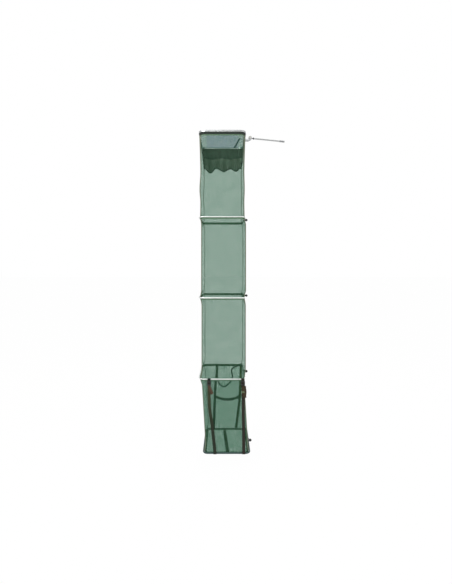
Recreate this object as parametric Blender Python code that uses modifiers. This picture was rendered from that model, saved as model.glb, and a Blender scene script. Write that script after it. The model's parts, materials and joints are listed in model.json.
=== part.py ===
# Folding keep net: a short rod with a tilting head, a mouth ring, three wall rings, a base ring,
# netting between them, an escape skirt in the mouth, and carrying straps on the lowest section.
# The origin is the middle of the rod's free end face. X runs from the net to that end, Z is up.
import math

import bmesh
import bpy
from mathutils import Matrix, Vector

# Clearances and overruns
GAP = 0.0003
FIT = 0.0004
OVERRUN = 0.004
MERGE = 0.00002

# Rings: the mouth is an extruded channel, the others are round tube
MOUTH_WIDTH = 0.372
MOUTH_DEPTH = 0.412
MOUTH_CORNER = 0.052
CHANNEL_WIDTH = 0.011
CHANNEL_HEIGHT = 0.0135
CHANNEL_WALL = 0.0016
RING_NARROWER = 0.004
RING_SHALLOWER = 0.003
RING_WIDTH = MOUTH_WIDTH - RING_NARROWER
RING_DEPTH = MOUTH_DEPTH - RING_SHALLOWER
RING_CORNER = 0.037
RING_TUBE = 0.009
RING_BUTT_GAP = 0.002
CORNER_STEPS = 6

# Lengths of the four netting sections, from the mouth down, and how far the base hangs askew
TOP_SECTION = 0.666
SECOND_SECTION = 0.629
THIRD_SECTION = 0.630
LOW_SECTION = 0.574
BASE_SHIFT = 0.033

# Netting, tapes and hems
NET_THICK = 0.0006
NET_DRAW_IN = 0.004
NET_LEVELS = 3
RING_TAPE_ABOVE = 0.004
RING_TAPE_BELOW = 0.008
BAND_TALL = 0.007
RING_TAPE_THICK = 0.0012
CORNER_TAPE_THICK = 0.0008
HEM_THICK = 0.003
HEM_TALL = 0.020
SLEEVE_THICK = 0.0009
SLEEVE_OPEN = math.radians(35)
SLEEVE_STEPS = 8
BINDING_WIDE = 0.016
BINDING_THICK = 0.0012
FLOOR_THREAD = 0.0016
FLOOR_OVERLAP = 0.006
FLOOR_GAPS_WIDE = 9
FLOOR_GAPS_DEEP = 11

# Escape skirt and the fine guard panel inside the mouth
SKIRT_THICK = 0.0008
SKIRT_TOP_DROP = 0.012
SKIRT_SEAM_DROP = 0.092
SKIRT_HEM_DROP = 0.196
SKIRT_LEAN = 0.009
SKIRT_FOLD_DEEP = 0.015
SKIRT_FOLDS = 13
SKIRT_POINTS_PER_FOLD = 6
BAND_LEVELS = 3
RUFFLE_LEVELS = 4
TOP_FOLD_SHARE = 0.05
SEAM_FOLD_SHARE = 0.30
GUARD_TALL = 0.128
GUARD_WIDE = 0.250
GUARD_LEAN = 0.006
GUARD_THICK = 0.0006

# Rod, in its own line: distances from the pivot
ROD_REACH = 0.288
ROD_SLOPE = math.radians(5.7)
ROD_RADIUS = 0.0056
ROD_WALL = 0.0011
ROD_FLUTES = 10
FLUTE_STEPS = 4
ROD_FLUTE_DEEP = 0.0004
CAP_LONG = 0.042
CAP_WALL = 0.0011
CAP_END = 0.004
CAP_CHAMFER = 0.0008
STUD_RADIUS = 0.0040
STUD_IN_ROD = 0.018
THREAD_PITCH = 0.0020
THREAD_DEEP = 0.0005
NUT_FLATS = 0.0145
NUT_LONG = 0.0085
NUT_START = 0.0245

# Pivot and clamp
PIVOT_OUT = 0.043
PIVOT_RISE = 0.0158
EYE_RADIUS = 0.0112
EYE_WIDE = 0.0144
EYE_BOSS_RADIUS = 0.0065
EYE_BOSS_REACH = 0.0165
BARREL_RADIUS = 0.0130
CHEEK_THICK = 0.0100
PIN_RADIUS = 0.0030
CLAMP_HALF_LONG = 0.0190
CLAMP_WALL = 0.0024
BRIDGE_TOP_DROP = 0.0102
BRIDGE_BOTTOM_DROP = 0.0222
BRIDGE_END = 0.0105
WEB_DEEP = 0.0160
WEB_REACH = 0.0155
WASHER_RADIUS = 0.0080
WASHER_THICK = 0.0015
KNOB_RADIUS = 0.0105
KNOB_THICK = 0.0090
KNOB_RIM = 0.0018
KNOB_DISH = 0.0010
PIN_IN_KNOB = 0.0045
PIN_HEAD_FLATS = 0.0100
PIN_HEAD_THICK = 0.0040
SCREW_RADIUS = 0.0015
SCREW_HEAD_RADIUS = 0.0026
SCREW_HEAD_SUNK = 0.0014
SCREW_HEAD_PROUD = 0.0004
SCREW_PLACE = 0.0120

# Joiners where the ring tubes meet
JOINER_LONG = 0.040
JOINER_RADIUS = 0.0060
JOINER_START = 0.0010
JOINER_OUT = 0.0095
JOINER_TALL = 0.0140
LUG_REACH = 0.018
LUG_WIDE = 0.018
LUG_THICK = 0.0060
JOINER_BEVEL = 0.0010

# Straps, buckles, handle and tie cord on the lowest section
STRAP_THICK = 0.0016
NEAR_STRAP_WIDE = 0.024
FAR_STRAP_WIDE = 0.022
FLOOR_STRAP_WIDE = 0.027
STRAP_WRAP_STEPS = 4
STRAP_SETTLE_DROP = 0.008
BUCKLE_WIDE = 0.032
BUCKLE_TALL = 0.034
BUCKLE_THICK = 0.0090
BUCKLE_DROP = 0.010
BUCKLE_BEVEL = 0.0020
FOLD_TALL = 0.085
FOLD_PITCH = 0.0034
FOLD_LAYERS = 4
FOLD_DROP = 0.050
FOLD_TURN_STEPS = 4
HANDLE_DROP = 0.288
HANDLE_SAG = 0.030
HANDLE_WIDE = 0.022
HANDLE_STEPS = 6
GRIP_THICK = 0.0014
GRIP_OPEN = math.radians(4)
GRIP_STEPS = 10
GRIP_START_SHARE = 0.24
GRIP_END_SHARE = 0.76
CORD_RADIUS = 0.0060
CORD_POINT_SPACING = 0.024
ROUTE_FINE_STEPS = 8
KNOT_RADIUS = 0.0125
KNOT_DROP = 0.010

# Each strap's course: (share of the low section down, share of the ring's half width across)
NEAR_LEFT_SHARES = ((0.0, -0.56), (0.2, -0.565), (0.42, -0.53), (0.6, -0.435), (0.8, -0.37), (1.0, -0.30))
NEAR_RIGHT_SHARES = ((0.0, 0.86), (0.2, 0.88), (0.42, 0.88), (0.7, 0.895), (1.0, 0.90))
FAR_LEFT_SHARES = ((0.0, -0.27), (0.12, -0.275), (0.3, -0.35), (0.55, -0.385), (0.8, -0.41), (1.0, -0.44))
FAR_RIGHT_SHARES = ((0.0, 0.88), (0.1, 0.88), (0.22, 0.865), (0.4, 0.845), (0.56, 0.82), (0.71, 0.76),
                    (0.93, 0.68), (1.0, 0.634))
FLOOR_FAR_SHARE = -0.095
FLOOR_NEAR_SHARE = 0.05

# The tie cord's own route behind the net, across and up from the middle of the fourth ring
TIE_CORD_ROUTE = (
    (0.1500, -0.0147), (0.1408, -0.0185), (0.1225, -0.024), (0.104, -0.033), (0.088, -0.044), (0.079, -0.056),
    (0.079, -0.070), (0.083, -0.085), (0.087, -0.101), (0.088, -0.117), (0.084, -0.135), (0.075, -0.153),
    (0.061, -0.172), (0.044, -0.190), (0.026, -0.202), (0.010, -0.206), (-0.006, -0.202), (-0.021, -0.191),
    (-0.034, -0.173), (-0.043, -0.150), (-0.0475, -0.122), (-0.0490, -0.090), (-0.0497, -0.058),
    (-0.0498, -0.0228),
)

# Places that follow from the sizes
PIVOT = Vector((-ROD_REACH * math.cos(ROD_SLOPE), 0.0, ROD_REACH * math.sin(ROD_SLOPE)))
NET_X = PIVOT.x - PIVOT_OUT - MOUTH_WIDTH / 2
MOUTH_Z = PIVOT.z - PIVOT_RISE
RING_2_Z = MOUTH_Z - TOP_SECTION
RING_3_Z = RING_2_Z - SECOND_SECTION
RING_4_Z = RING_3_Z - THIRD_SECTION
BASE_Z = RING_4_Z - LOW_SECTION
TUBE_RADIUS = RING_TUBE / 2
MOUTH_HALF = (MOUTH_WIDTH / 2 - CHANNEL_WIDTH / 2, MOUTH_DEPTH / 2 - CHANNEL_WIDTH / 2)
MOUTH_TURN = MOUTH_CORNER - CHANNEL_WIDTH / 2
RING_HALF = (RING_WIDTH / 2 - TUBE_RADIUS, RING_DEPTH / 2 - TUBE_RADIUS)
RING_TURN = RING_CORNER - TUBE_RADIUS
TAPE_INSET = TUBE_RADIUS + GAP + RING_TAPE_THICK / 2
NET_INSET = TAPE_INSET + RING_TAPE_THICK / 2 + GAP + NET_THICK / 2
CORNER_TAPE_OUT = NET_THICK / 2 + GAP + CORNER_TAPE_THICK / 2
HEM_BOTTOM = -CHANNEL_HEIGHT / 2 - HEM_TALL
SLEEVE_RADIUS = TUBE_RADIUS + GAP + SLEEVE_THICK / 2
SLEEVE_OUTER = SLEEVE_RADIUS + SLEEVE_THICK / 2
STRAP_Y = RING_HALF[1] + SLEEVE_OUTER + GAP + STRAP_THICK / 2
STRAP_FACE = STRAP_Y + STRAP_THICK / 2 + GAP
CHEEK_INNER = EYE_WIDE / 2 + FIT
CHEEK_OUTER = CHEEK_INNER + CHEEK_THICK

for old in list(bpy.data.objects):
    bpy.data.objects.remove(old, do_unlink=True)

parts = bpy.data.collections.new("keep_net")
guides = bpy.data.collections.new("cutters")
bpy.context.scene.collection.children.link(parts)
bpy.context.scene.collection.children.link(guides)


def finish(name, color, roughness, metallic=0.0):
    """A plain material with the part's own colour."""
    material = bpy.data.materials.new(name)
    material.use_nodes = True
    shader = material.node_tree.nodes["Principled BSDF"]
    shader.inputs["Base Color"].default_value = (*color, 1.0)
    shader.inputs["Roughness"].default_value = roughness
    shader.inputs["Metallic"].default_value = metallic
    return material


SILVER = finish("silver_aluminium", (0.78, 0.79, 0.78), 0.35, 1.0)
DIE_CAST = finish("die_cast_silver", (0.74, 0.75, 0.75), 0.45, 1.0)
DARK_STEEL = finish("dark_steel", (0.10, 0.10, 0.11), 0.40, 1.0)
KNOB_GREY = finish("knob_grey", (0.52, 0.51, 0.50), 0.45)
BLACK_PLASTIC = finish("black_plastic", (0.03, 0.03, 0.03), 0.45)
GREY_PLASTIC = finish("grey_plastic", (0.42, 0.43, 0.44), 0.50)
NET_GREEN = finish("green_netting", (0.36, 0.48, 0.38), 0.80)
GUARD_BLUE = finish("pale_blue_mesh", (0.34, 0.42, 0.45), 0.80)
TAPE_GREEN = finish("dark_green_tape", (0.05, 0.09, 0.05), 0.80)
HEM_BLACK = finish("black_webbing", (0.025, 0.035, 0.028), 0.75)
SKIRT_GREEN = finish("dark_green_cloth", (0.035, 0.065, 0.035), 0.85)
SLATE_GREEN = finish("slate_sleeve", (0.03, 0.06, 0.055), 0.80)
OLIVE = finish("olive_webbing", (0.13, 0.14, 0.07), 0.80)
BROWN = finish("brown_webbing", (0.09, 0.06, 0.045), 0.80)
GRIP_GREEN = finish("grip_green", (0.04, 0.06, 0.05), 0.85)

AXIS_TURNS = {"X": Matrix.Rotation(math.pi / 2, 4, "Y"), "Y": Matrix.Rotation(-math.pi / 2, 4, "X")}


def empty(name, location, parent=None, turn=0.0):
    """A named frame for parts, turned about Y."""
    frame = bpy.data.objects.new(name, None)
    frame.location = location
    frame.rotation_euler = (0.0, turn, 0.0)
    frame.parent = parent
    parts.objects.link(frame)
    return frame


def add(name, data, material, parent):
    """A part of the model, in its frame's coordinates."""
    obj = bpy.data.objects.new(name, data)
    obj.data.materials.append(material)
    obj.parent = parent
    parts.objects.link(obj)
    return obj


def smooth(obj, angle):
    """Round faces shaded smooth, with the true edges kept."""
    obj.data.shade_smooth()
    obj.data.set_sharp_from_angle(angle=angle)
    return obj


def combine(target, tool, operation):
    """A Boolean whose tool moves to the cutters, out of the render."""
    parts.objects.unlink(tool)
    guides.objects.link(tool)
    tool.hide_render = True
    tool.display_type = "WIRE"
    boolean = target.modifiers.new(operation.lower(), "BOOLEAN")
    boolean.operation = operation
    boolean.object = tool


def block(name, low, high, material, parent, bevel=0.0):
    """A box between two corners, with rounded edges if asked."""
    low, high = Vector(low), Vector(high)
    mesh = bpy.data.meshes.new(name)
    shape = bmesh.new()
    bmesh.ops.create_cube(shape, size=1.0, matrix=Matrix.Diagonal((*(high - low), 1.0)))
    bmesh.ops.translate(shape, verts=shape.verts, vec=(low + high) / 2)
    shape.to_mesh(mesh)
    shape.free()
    obj = add(name, mesh, material, parent)
    if bevel:
        edges = obj.modifiers.new("rounding", "BEVEL")
        edges.width = bevel
        edges.segments = 2
    return obj


def cylinder(name, axis, start, end, radius, material, parent, centre=(0.0, 0.0), sides=24):
    """A cylinder along X, Y or Z, with its centre given on the other two axes."""
    mesh = bpy.data.meshes.new(name)
    shape = bmesh.new()
    bmesh.ops.create_cone(shape, cap_ends=True, segments=sides, radius1=radius, radius2=radius,
                          depth=end - start)
    if axis in AXIS_TURNS:
        bmesh.ops.transform(shape, matrix=AXIS_TURNS[axis], verts=shape.verts)
    middle = (start + end) / 2
    places = {"X": (middle, *centre), "Y": (centre[0], middle, centre[1]), "Z": (*centre, middle)}
    bmesh.ops.translate(shape, verts=shape.verts, vec=places[axis])
    shape.to_mesh(mesh)
    shape.free()
    return smooth(add(name, mesh, material, parent), math.radians(35))


def turned(name, profile, sides, material, parent, axis="Z", hollow=False):
    """A profile of (radius, height) points, top to bottom, turned about Z or laid along X or Y."""
    mesh = bpy.data.meshes.new(name)
    edges = [(i, i + 1) for i in range(len(profile) - 1)]
    if hollow:
        edges.append((len(profile) - 1, 0))
    mesh.from_pydata([(radius, 0.0, height) for radius, height in profile], edges, [])
    obj = add(name, mesh, material, parent)
    screw = obj.modifiers.new("turning", "SCREW")
    screw.steps = screw.render_steps = sides
    screw.use_merge_vertices = True
    screw.merge_threshold = MERGE
    screw.use_smooth_shade = True
    if axis in AXIS_TURNS:
        obj.rotation_euler = AXIS_TURNS[axis].to_euler()
    return obj


def tube(name, points, radius, material, parent):
    """A round tube along points, with filled ends."""
    curve = bpy.data.curves.new(name, "CURVE")
    curve.dimensions = "3D"
    curve.bevel_depth = radius
    curve.bevel_resolution = 2
    curve.use_fill_caps = True
    spline = curve.splines.new("POLY")
    spline.points.add(len(points) - 1)
    for knot, place in zip(spline.points, points):
        knot.co = (*place, 1.0)
    return add(name, curve, material, parent)


def cloth(name, rows, thickness, material, parent, closed=False, wanted=None):
    """An open surface through rows of points, with its thickness given evenly to both sides.

    If wanted is given, it says which faces the surface has, by row and column."""
    count = len(rows[0])
    mesh = bpy.data.meshes.new(name)
    shape = bmesh.new()
    corners = [[shape.verts.new(place) for place in row] for row in rows]
    for row in range(len(rows) - 1):
        for column in range(count if closed else count - 1):
            if wanted is None or wanted(row, column):
                beside = (column + 1) % count
                shape.faces.new((corners[row][column], corners[row][beside],
                                 corners[row + 1][beside], corners[row + 1][column]))
    unused = [vert for vert in shape.verts if not vert.link_faces]
    bmesh.ops.delete(shape, geom=unused, context="VERTS")
    shape.to_mesh(mesh)
    shape.free()
    obj = smooth(add(name, mesh, material, parent), math.radians(60))
    solid = obj.modifiers.new("thickness", "SOLIDIFY")
    solid.thickness = thickness
    solid.offset = 0.0
    solid.use_even_offset = True
    return obj


def rounded_loop(half, turn, inset=0.0):
    """Corner points of an inset rounded rectangle, anticlockwise from the +X, +Y corner."""
    points = []
    for corner, (side_x, side_y) in enumerate(((1, 1), (-1, 1), (-1, -1), (1, -1))):
        for step in range(CORNER_STEPS + 1):
            angle = math.pi / 2 * (corner + step / CORNER_STEPS)
            points.append((side_x * (half[0] - turn) + (turn - inset) * math.cos(angle),
                           side_y * (half[1] - turn) + (turn - inset) * math.sin(angle)))
    return points


def opened(loop, gap):
    """A loop that starts and ends beside the middle of its +X side, a gap apart."""
    side = loop[0][0]
    return [(side, gap / 2)] + loop + [(side, -gap / 2)]


def at_height(loop, z):
    """A level loop of points at one height."""
    return [(x, y, z) for x, y in loop]


def mix(first, second, share):
    """The value between two others."""
    return first + (second - first) * share


def course(shares, down):
    """The across share of a strap's course at a share down."""
    for (top, first), (bottom, second) in zip(shares, shares[1:]):
        if down <= bottom:
            return mix(first, second, (down - top) / (bottom - top))
    return shares[-1][1]


def spaced(points, count):
    """Equally spaced places along an open level path, each with the direction to its left."""
    lengths = [0.0]
    for a, b in zip(points, points[1:]):
        lengths.append(lengths[-1] + (Vector(b) - Vector(a)).length)
    result = []
    piece = 0
    for step in range(count):
        goal = lengths[-1] * step / (count - 1)
        while piece < len(points) - 2 and lengths[piece + 1] < goal:
            piece += 1
        a, b = Vector(points[piece]), Vector(points[piece + 1])
        along = (b - a).normalized()
        share = (goal - lengths[piece]) / (lengths[piece + 1] - lengths[piece])
        result.append((a.lerp(b, share), Vector((-along.y, along.x))))
    return result


def smooth_route(points, spacing):
    """Places about a spacing apart on a smooth curve through the points."""
    fine = []
    ends = [points[0]] + list(points) + [points[-1]]
    for group in zip(ends, ends[1:], ends[2:], ends[3:]):
        a, b, c, d = (Vector(point) for point in group)
        for step in range(ROUTE_FINE_STEPS):
            t = step / ROUTE_FINE_STEPS
            fine.append(((2 * b) + (c - a) * t + (2 * a - 5 * b + 4 * c - d) * t ** 2
                         + (3 * b - a - 3 * c + d) * t ** 3) / 2)
    fine.append(Vector(points[-1]))
    length = sum((b - a).length for a, b in zip(fine, fine[1:]))
    count = round(length / spacing)
    route = [fine[0]]
    walked = 0.0
    for a, b in zip(fine, fine[1:]):
        reach = (b - a).length
        while len(route) < count and walked + reach > length * len(route) / count:
            route.append(a.lerp(b, (length * len(route) / count - walked) / reach))
        walked += reach
    return route + [fine[-1]]


# Frames that carry the parts
rod_frame = empty("rod_frame", PIVOT, turn=ROD_SLOPE)
head_frame = empty("head_frame", PIVOT)
knob_frame = empty("knob_frame", PIVOT)
mouth_frame = empty("mouth_frame", (-PIVOT_OUT - MOUTH_WIDTH / 2, 0.0, -PIVOT_RISE), head_frame)
ring_2_frame = empty("ring_2_frame", (NET_X, 0.0, RING_2_Z))
ring_3_frame = empty("ring_3_frame", (NET_X, 0.0, RING_3_Z))
ring_4_frame = empty("ring_4_frame", (NET_X, 0.0, RING_4_Z))
base_frame = empty("base_frame", (NET_X + BASE_SHIFT, 0.0, BASE_Z))


def make_rod_tube(start, end):
    """The fluted aluminium tube, open at both ends."""
    outline = bpy.data.curves.new("rod_tube", "CURVE")
    outline.dimensions = "2D"
    outline.fill_mode = "BOTH"
    outline.extrude = (end - start) / 2
    sides = ROD_FLUTES * FLUTE_STEPS
    for radius, depth in ((ROD_RADIUS, ROD_FLUTE_DEEP), (ROD_RADIUS - ROD_WALL, 0.0)):
        edge = outline.splines.new("POLY")
        edge.points.add(sides - 1)
        for step, knot in enumerate(edge.points):
            angle = 2 * math.pi * step / sides
            reach = radius - (depth if step % FLUTE_STEPS == 0 else 0.0)
            knot.co = (reach * math.cos(angle), reach * math.sin(angle), 0.0, 1.0)
        edge.use_cyclic_u = True
    rod = add("rod_tube", outline, SILVER, rod_frame)
    rod.rotation_euler = AXIS_TURNS["X"].to_euler()
    rod.location = ((start + end) / 2, 0.0, 0.0)


def make_end_cap():
    """The cap over the rod's free end, whose flat face is the holding face."""
    bore = ROD_RADIUS + GAP
    outer = bore + CAP_WALL
    back = ROD_REACH - CAP_LONG
    turned("rod_end_cap", [
        (0.0, ROD_REACH), (outer - CAP_CHAMFER, ROD_REACH), (outer, ROD_REACH - CAP_CHAMFER),
        (outer, back + CAP_CHAMFER), (outer - CAP_CHAMFER, back), (bore, back),
        (bore, ROD_REACH - CAP_END), (0.0, ROD_REACH - CAP_END),
    ], 24, GREY_PLASTIC, rod_frame, "X")


def make_neck(tube_start):
    """The threaded stud that joins the eye to the rod, and its jam nut."""
    start = EYE_BOSS_REACH + GAP
    root = STUD_RADIUS - THREAD_DEEP
    end = tube_start + STUD_IN_ROD
    profile = [(0.0, end), (root, end)]
    for thread in range(int((tube_start - start) / THREAD_PITCH)):
        crest = tube_start - thread * THREAD_PITCH
        profile.append((root, crest))
        profile.append((STUD_RADIUS, crest - THREAD_PITCH / 2))
    profile += [(root, start), (0.0, start)]
    turned("neck_stud", profile, 12, DARK_STEEL, rod_frame, "X")

    nut_end = NUT_START + NUT_LONG
    nut = cylinder("jam_nut", "X", NUT_START, nut_end, NUT_FLATS / math.sqrt(3), DARK_STEEL, rod_frame,
                   sides=6)
    hole = cylinder("jam_nut_bore", "X", NUT_START - OVERRUN, nut_end + OVERRUN, STUD_RADIUS + GAP,
                    DARK_STEEL, rod_frame)
    combine(nut, hole, "DIFFERENCE")


def make_eye():
    """The eye that turns on the pivot pin between the clamp's cheeks."""
    half = EYE_WIDE / 2
    eye = cylinder("swivel_eye", "Y", -half, half, EYE_RADIUS, DIE_CAST, rod_frame, sides=32)
    boss = cylinder("eye_boss", "X", PIN_RADIUS, EYE_BOSS_REACH, EYE_BOSS_RADIUS, DIE_CAST, rod_frame)
    combine(eye, boss, "UNION")
    bore = cylinder("eye_bore", "Y", -half - OVERRUN, half + OVERRUN, PIN_RADIUS + GAP, DIE_CAST, rod_frame)
    combine(eye, bore, "DIFFERENCE")


def make_clamp():
    """The die-cast clamp: a bridge from the saddle to two cheeks round the eye."""
    start = -PIVOT_OUT + GAP + CLAMP_WALL + GAP
    body = block("clamp_body", (start, -CHEEK_OUTER, -BRIDGE_BOTTOM_DROP),
                 (-BRIDGE_END, CHEEK_OUTER, -BRIDGE_TOP_DROP), DIE_CAST, head_frame)
    for low, high in ((-CHEEK_OUTER, -CHEEK_INNER), (CHEEK_INNER, CHEEK_OUTER)):
        cheek = cylinder("cheek", "Y", low, high, BARREL_RADIUS, DIE_CAST, head_frame, sides=32)
        combine(body, cheek, "UNION")
        web = block("web", (-WEB_REACH, low, -WEB_DEEP), (0.0, high, 0.0), DIE_CAST, head_frame)
        combine(body, web, "UNION")
    reach = CHEEK_OUTER + OVERRUN
    bore = cylinder("clamp_bore", "Y", -reach, reach, PIN_RADIUS + GAP, DIE_CAST, head_frame)
    combine(body, bore, "DIFFERENCE")
    slot = cylinder("eye_slot", "Y", -CHEEK_INNER, CHEEK_INNER, EYE_RADIUS + FIT, DIE_CAST, head_frame,
                    sides=32)
    combine(body, slot, "DIFFERENCE")


def make_saddle():
    """The saddle over the mouth channel, and the two screws sunk in it that hold it there."""
    outer = -PIVOT_OUT + GAP + CLAMP_WALL
    inner = -PIVOT_OUT - CHANNEL_WIDTH - GAP - CLAMP_WALL
    middle = -PIVOT_OUT - CHANNEL_WIDTH / 2
    roof = -PIVOT_RISE + CHANNEL_HEIGHT / 2 + GAP
    top = roof + CLAMP_WALL
    bottom = -PIVOT_RISE - CHANNEL_HEIGHT / 2
    saddle = block("clamp_saddle", (inner, -CLAMP_HALF_LONG, bottom), (outer, CLAMP_HALF_LONG, top),
                   DIE_CAST, head_frame)
    reach = CLAMP_HALF_LONG + OVERRUN
    channel = block("saddle_channel", (inner + CLAMP_WALL, -reach, bottom - OVERRUN),
                    (outer - CLAMP_WALL, reach, roof), DIE_CAST, head_frame)
    combine(saddle, channel, "DIFFERENCE")
    seat = top - SCREW_HEAD_SUNK
    head_top = top + SCREW_HEAD_PROUD
    for side, label in ((-1, "front"), (1, "back")):
        place = (middle, side * SCREW_PLACE)
        sink = cylinder("screw_sink", "Z", seat, top + OVERRUN, SCREW_HEAD_RADIUS + GAP, DIE_CAST,
                        head_frame, place, 16)
        combine(saddle, sink, "DIFFERENCE")
        bore = cylinder("screw_bore", "Z", roof - OVERRUN, top, SCREW_RADIUS + GAP, DIE_CAST,
                        head_frame, place, 16)
        combine(saddle, bore, "DIFFERENCE")
        screw = turned("clamp_screw_" + label, [
            (0.0, head_top), (SCREW_HEAD_RADIUS, head_top), (SCREW_HEAD_RADIUS, seat + GAP),
            (SCREW_RADIUS, seat + GAP), (SCREW_RADIUS, roof), (0.0, roof),
        ], 16, DARK_STEEL, head_frame)
        screw.location = (*place, 0.0)


def make_knob():
    """The washer on the front cheek, the thumb knob, and the pivot pin that the knob tightens."""
    bore = PIN_RADIUS + GAP
    washer_back = -CHEEK_OUTER - GAP
    washer_front = washer_back - WASHER_THICK
    turned("pivot_washer", [
        (bore, washer_back), (WASHER_RADIUS, washer_back),
        (WASHER_RADIUS, washer_front), (bore, washer_front),
    ], 24, BLACK_PLASTIC, head_frame, "Y", hollow=True)

    back = washer_front - GAP
    front = back - KNOB_THICK
    blind = back - PIN_IN_KNOB
    waist = KNOB_RADIUS - KNOB_RIM
    turned("thumb_knob", [
        (0.0, blind), (bore, blind), (bore, back), (waist, back), (KNOB_RADIUS, back - KNOB_RIM),
        (KNOB_RADIUS, front + KNOB_RIM / 2), (KNOB_RADIUS - KNOB_RIM / 2, front), (waist, front),
        (waist - KNOB_DISH, front + KNOB_DISH), (0.0, front + KNOB_DISH),
    ], 32, KNOB_GREY, knob_frame, "Y")

    shoulder = CHEEK_OUTER + GAP
    pin = cylinder("pivot_pin", "Y", blind + GAP, shoulder + PIN_HEAD_THICK / 2, PIN_RADIUS, DARK_STEEL,
                   knob_frame)
    head = cylinder("pin_head", "Y", shoulder, shoulder + PIN_HEAD_THICK, PIN_HEAD_FLATS / math.sqrt(3),
                    DARK_STEEL, knob_frame, sides=6)
    combine(pin, head, "UNION")


def make_mouth():
    """The mouth's channel, open below, and the webbing hem that hangs in its groove."""
    half_wall = CHANNEL_WALL / 2
    across = CHANNEL_WIDTH / 2 - half_wall
    low, high = -CHANNEL_HEIGHT / 2, CHANNEL_HEIGHT / 2 - half_wall
    inner = rounded_loop(MOUTH_HALF, MOUTH_TURN, across)
    outer = rounded_loop(MOUTH_HALF, MOUTH_TURN, -across)
    rows = [at_height(inner, low), at_height(inner, high), at_height(outer, high), at_height(outer, low)]
    cloth("mouth_ring", rows, CHANNEL_WALL, SILVER, mouth_frame, closed=True)

    middle = rounded_loop(MOUTH_HALF, MOUTH_TURN)
    tongue = CHANNEL_HEIGHT / 2 - CHANNEL_WALL - GAP
    rows = [at_height(middle, tongue), at_height(middle, HEM_BOTTOM)]
    cloth("mouth_hem", rows, HEM_THICK, HEM_BLACK, mouth_frame, closed=True)


def skirt_rows(top, bottom, top_fold, bottom_fold, levels):
    """Rows of an escape skirt round the far side and half of both ends, in folds that deepen."""
    span = SKIRT_HEM_DROP - SKIRT_TOP_DROP
    rows = []
    for level in range(levels):
        share = level / (levels - 1)
        drop = mix(top, bottom, share)
        inset = HEM_THICK / 2 + GAP + SKIRT_THICK / 2 + SKIRT_LEAN * (drop - SKIRT_TOP_DROP) / span
        loop = rounded_loop(MOUTH_HALF, MOUTH_TURN, inset)
        far = loop[:2 * (CORNER_STEPS + 1)]
        path = [(far[0][0], 0.0)] + far + [(far[-1][0], 0.0)]
        deep = SKIRT_FOLD_DEEP * mix(top_fold, bottom_fold, share)
        row = []
        for step, (place, inward) in enumerate(spaced(path, SKIRT_FOLDS * SKIRT_POINTS_PER_FOLD + 1)):
            wave = (1 - math.cos(2 * math.pi * step / SKIRT_POINTS_PER_FOLD)) / 2
            moved = place + inward * deep * wave
            row.append((moved.x, moved.y, -drop))
        rows.append(row)
    return rows


def make_skirt():
    """The two tiers of the escape skirt and the fine guard panel on the near side."""
    half_gap = GAP / 2
    band = skirt_rows(SKIRT_TOP_DROP, SKIRT_SEAM_DROP - half_gap, TOP_FOLD_SHARE, SEAM_FOLD_SHARE,
                      BAND_LEVELS)
    cloth("skirt_band", band, SKIRT_THICK, SKIRT_GREEN, mouth_frame)
    ruffle = skirt_rows(SKIRT_SEAM_DROP + half_gap, SKIRT_HEM_DROP, SEAM_FOLD_SHARE, 1.0, RUFFLE_LEVELS)
    cloth("skirt_ruffle", ruffle, SKIRT_THICK, SKIRT_GREEN, mouth_frame)

    near = -MOUTH_HALF[1] + HEM_THICK / 2 + GAP + GUARD_THICK / 2
    half = GUARD_WIDE / 2
    rows = [[(-half, near, -SKIRT_TOP_DROP), (half, near, -SKIRT_TOP_DROP)],
            [(-half, near, HEM_BOTTOM), (half, near, HEM_BOTTOM)],
            [(-half, near + GUARD_LEAN, -GUARD_TALL), (half, near + GUARD_LEAN, -GUARD_TALL)]]
    cloth("front_guard", rows, GUARD_THICK, GUARD_BLUE, mouth_frame)


def section_loop(length, drop, upper, lower, top, bottom, shift):
    """The wall of a netting section at one drop below its upper ring, and how far it leans along X."""
    share = (drop - top) / (bottom - top)
    draw = 4 * NET_DRAW_IN * share * (1 - share)
    half = [mix(upper[0][axis], lower[0][axis], share) - draw for axis in (0, 1)]
    return half, mix(upper[1], lower[1], share) - draw, shift * drop / length


def make_section(number, frame, length, upper, top, tape_top, shift=0.0):
    """One netting section below its ring, and its binding: a band at the top and four corner tapes."""
    lower = ([size - NET_INSET for size in RING_HALF], RING_TURN - NET_INSET)
    bottom = length - GAP / 2
    tape_bottom = length - RING_TAPE_ABOVE - GAP - (SLEEVE_OUTER if shift else 0.0)
    band_bottom = tape_top + BAND_TALL
    shares = [level / (NET_LEVELS - 1) for level in range(NET_LEVELS)]
    taped = [tape_top] + [mix(band_bottom, tape_bottom, share) for share in shares]
    walls, tapes = [], []
    for drop in [top] * (top < tape_top) + taped + [bottom]:
        half, turn, lean = section_loop(length, drop, upper, lower, top, bottom, shift)
        walls.append([(x + lean, y, -drop) for x, y in rounded_loop(half, turn)])
        if drop in taped:
            outer = rounded_loop(half, turn, -CORNER_TAPE_OUT)
            tapes.append([(x + lean, y, -drop) for x, y in outer])
    cloth(f"net_section_{number}", walls, NET_THICK, NET_GREEN, frame, closed=True)

    def wanted(row, column):
        """The whole band, and below it only the middle of each corner."""
        step = column % (CORNER_STEPS + 1)
        return row == 0 or abs(step + 1 / 2 - CORNER_STEPS / 2) < 1

    cloth(f"seam_tapes_{number}", tapes, CORNER_TAPE_THICK, TAPE_GREEN, frame, closed=True, wanted=wanted)


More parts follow.
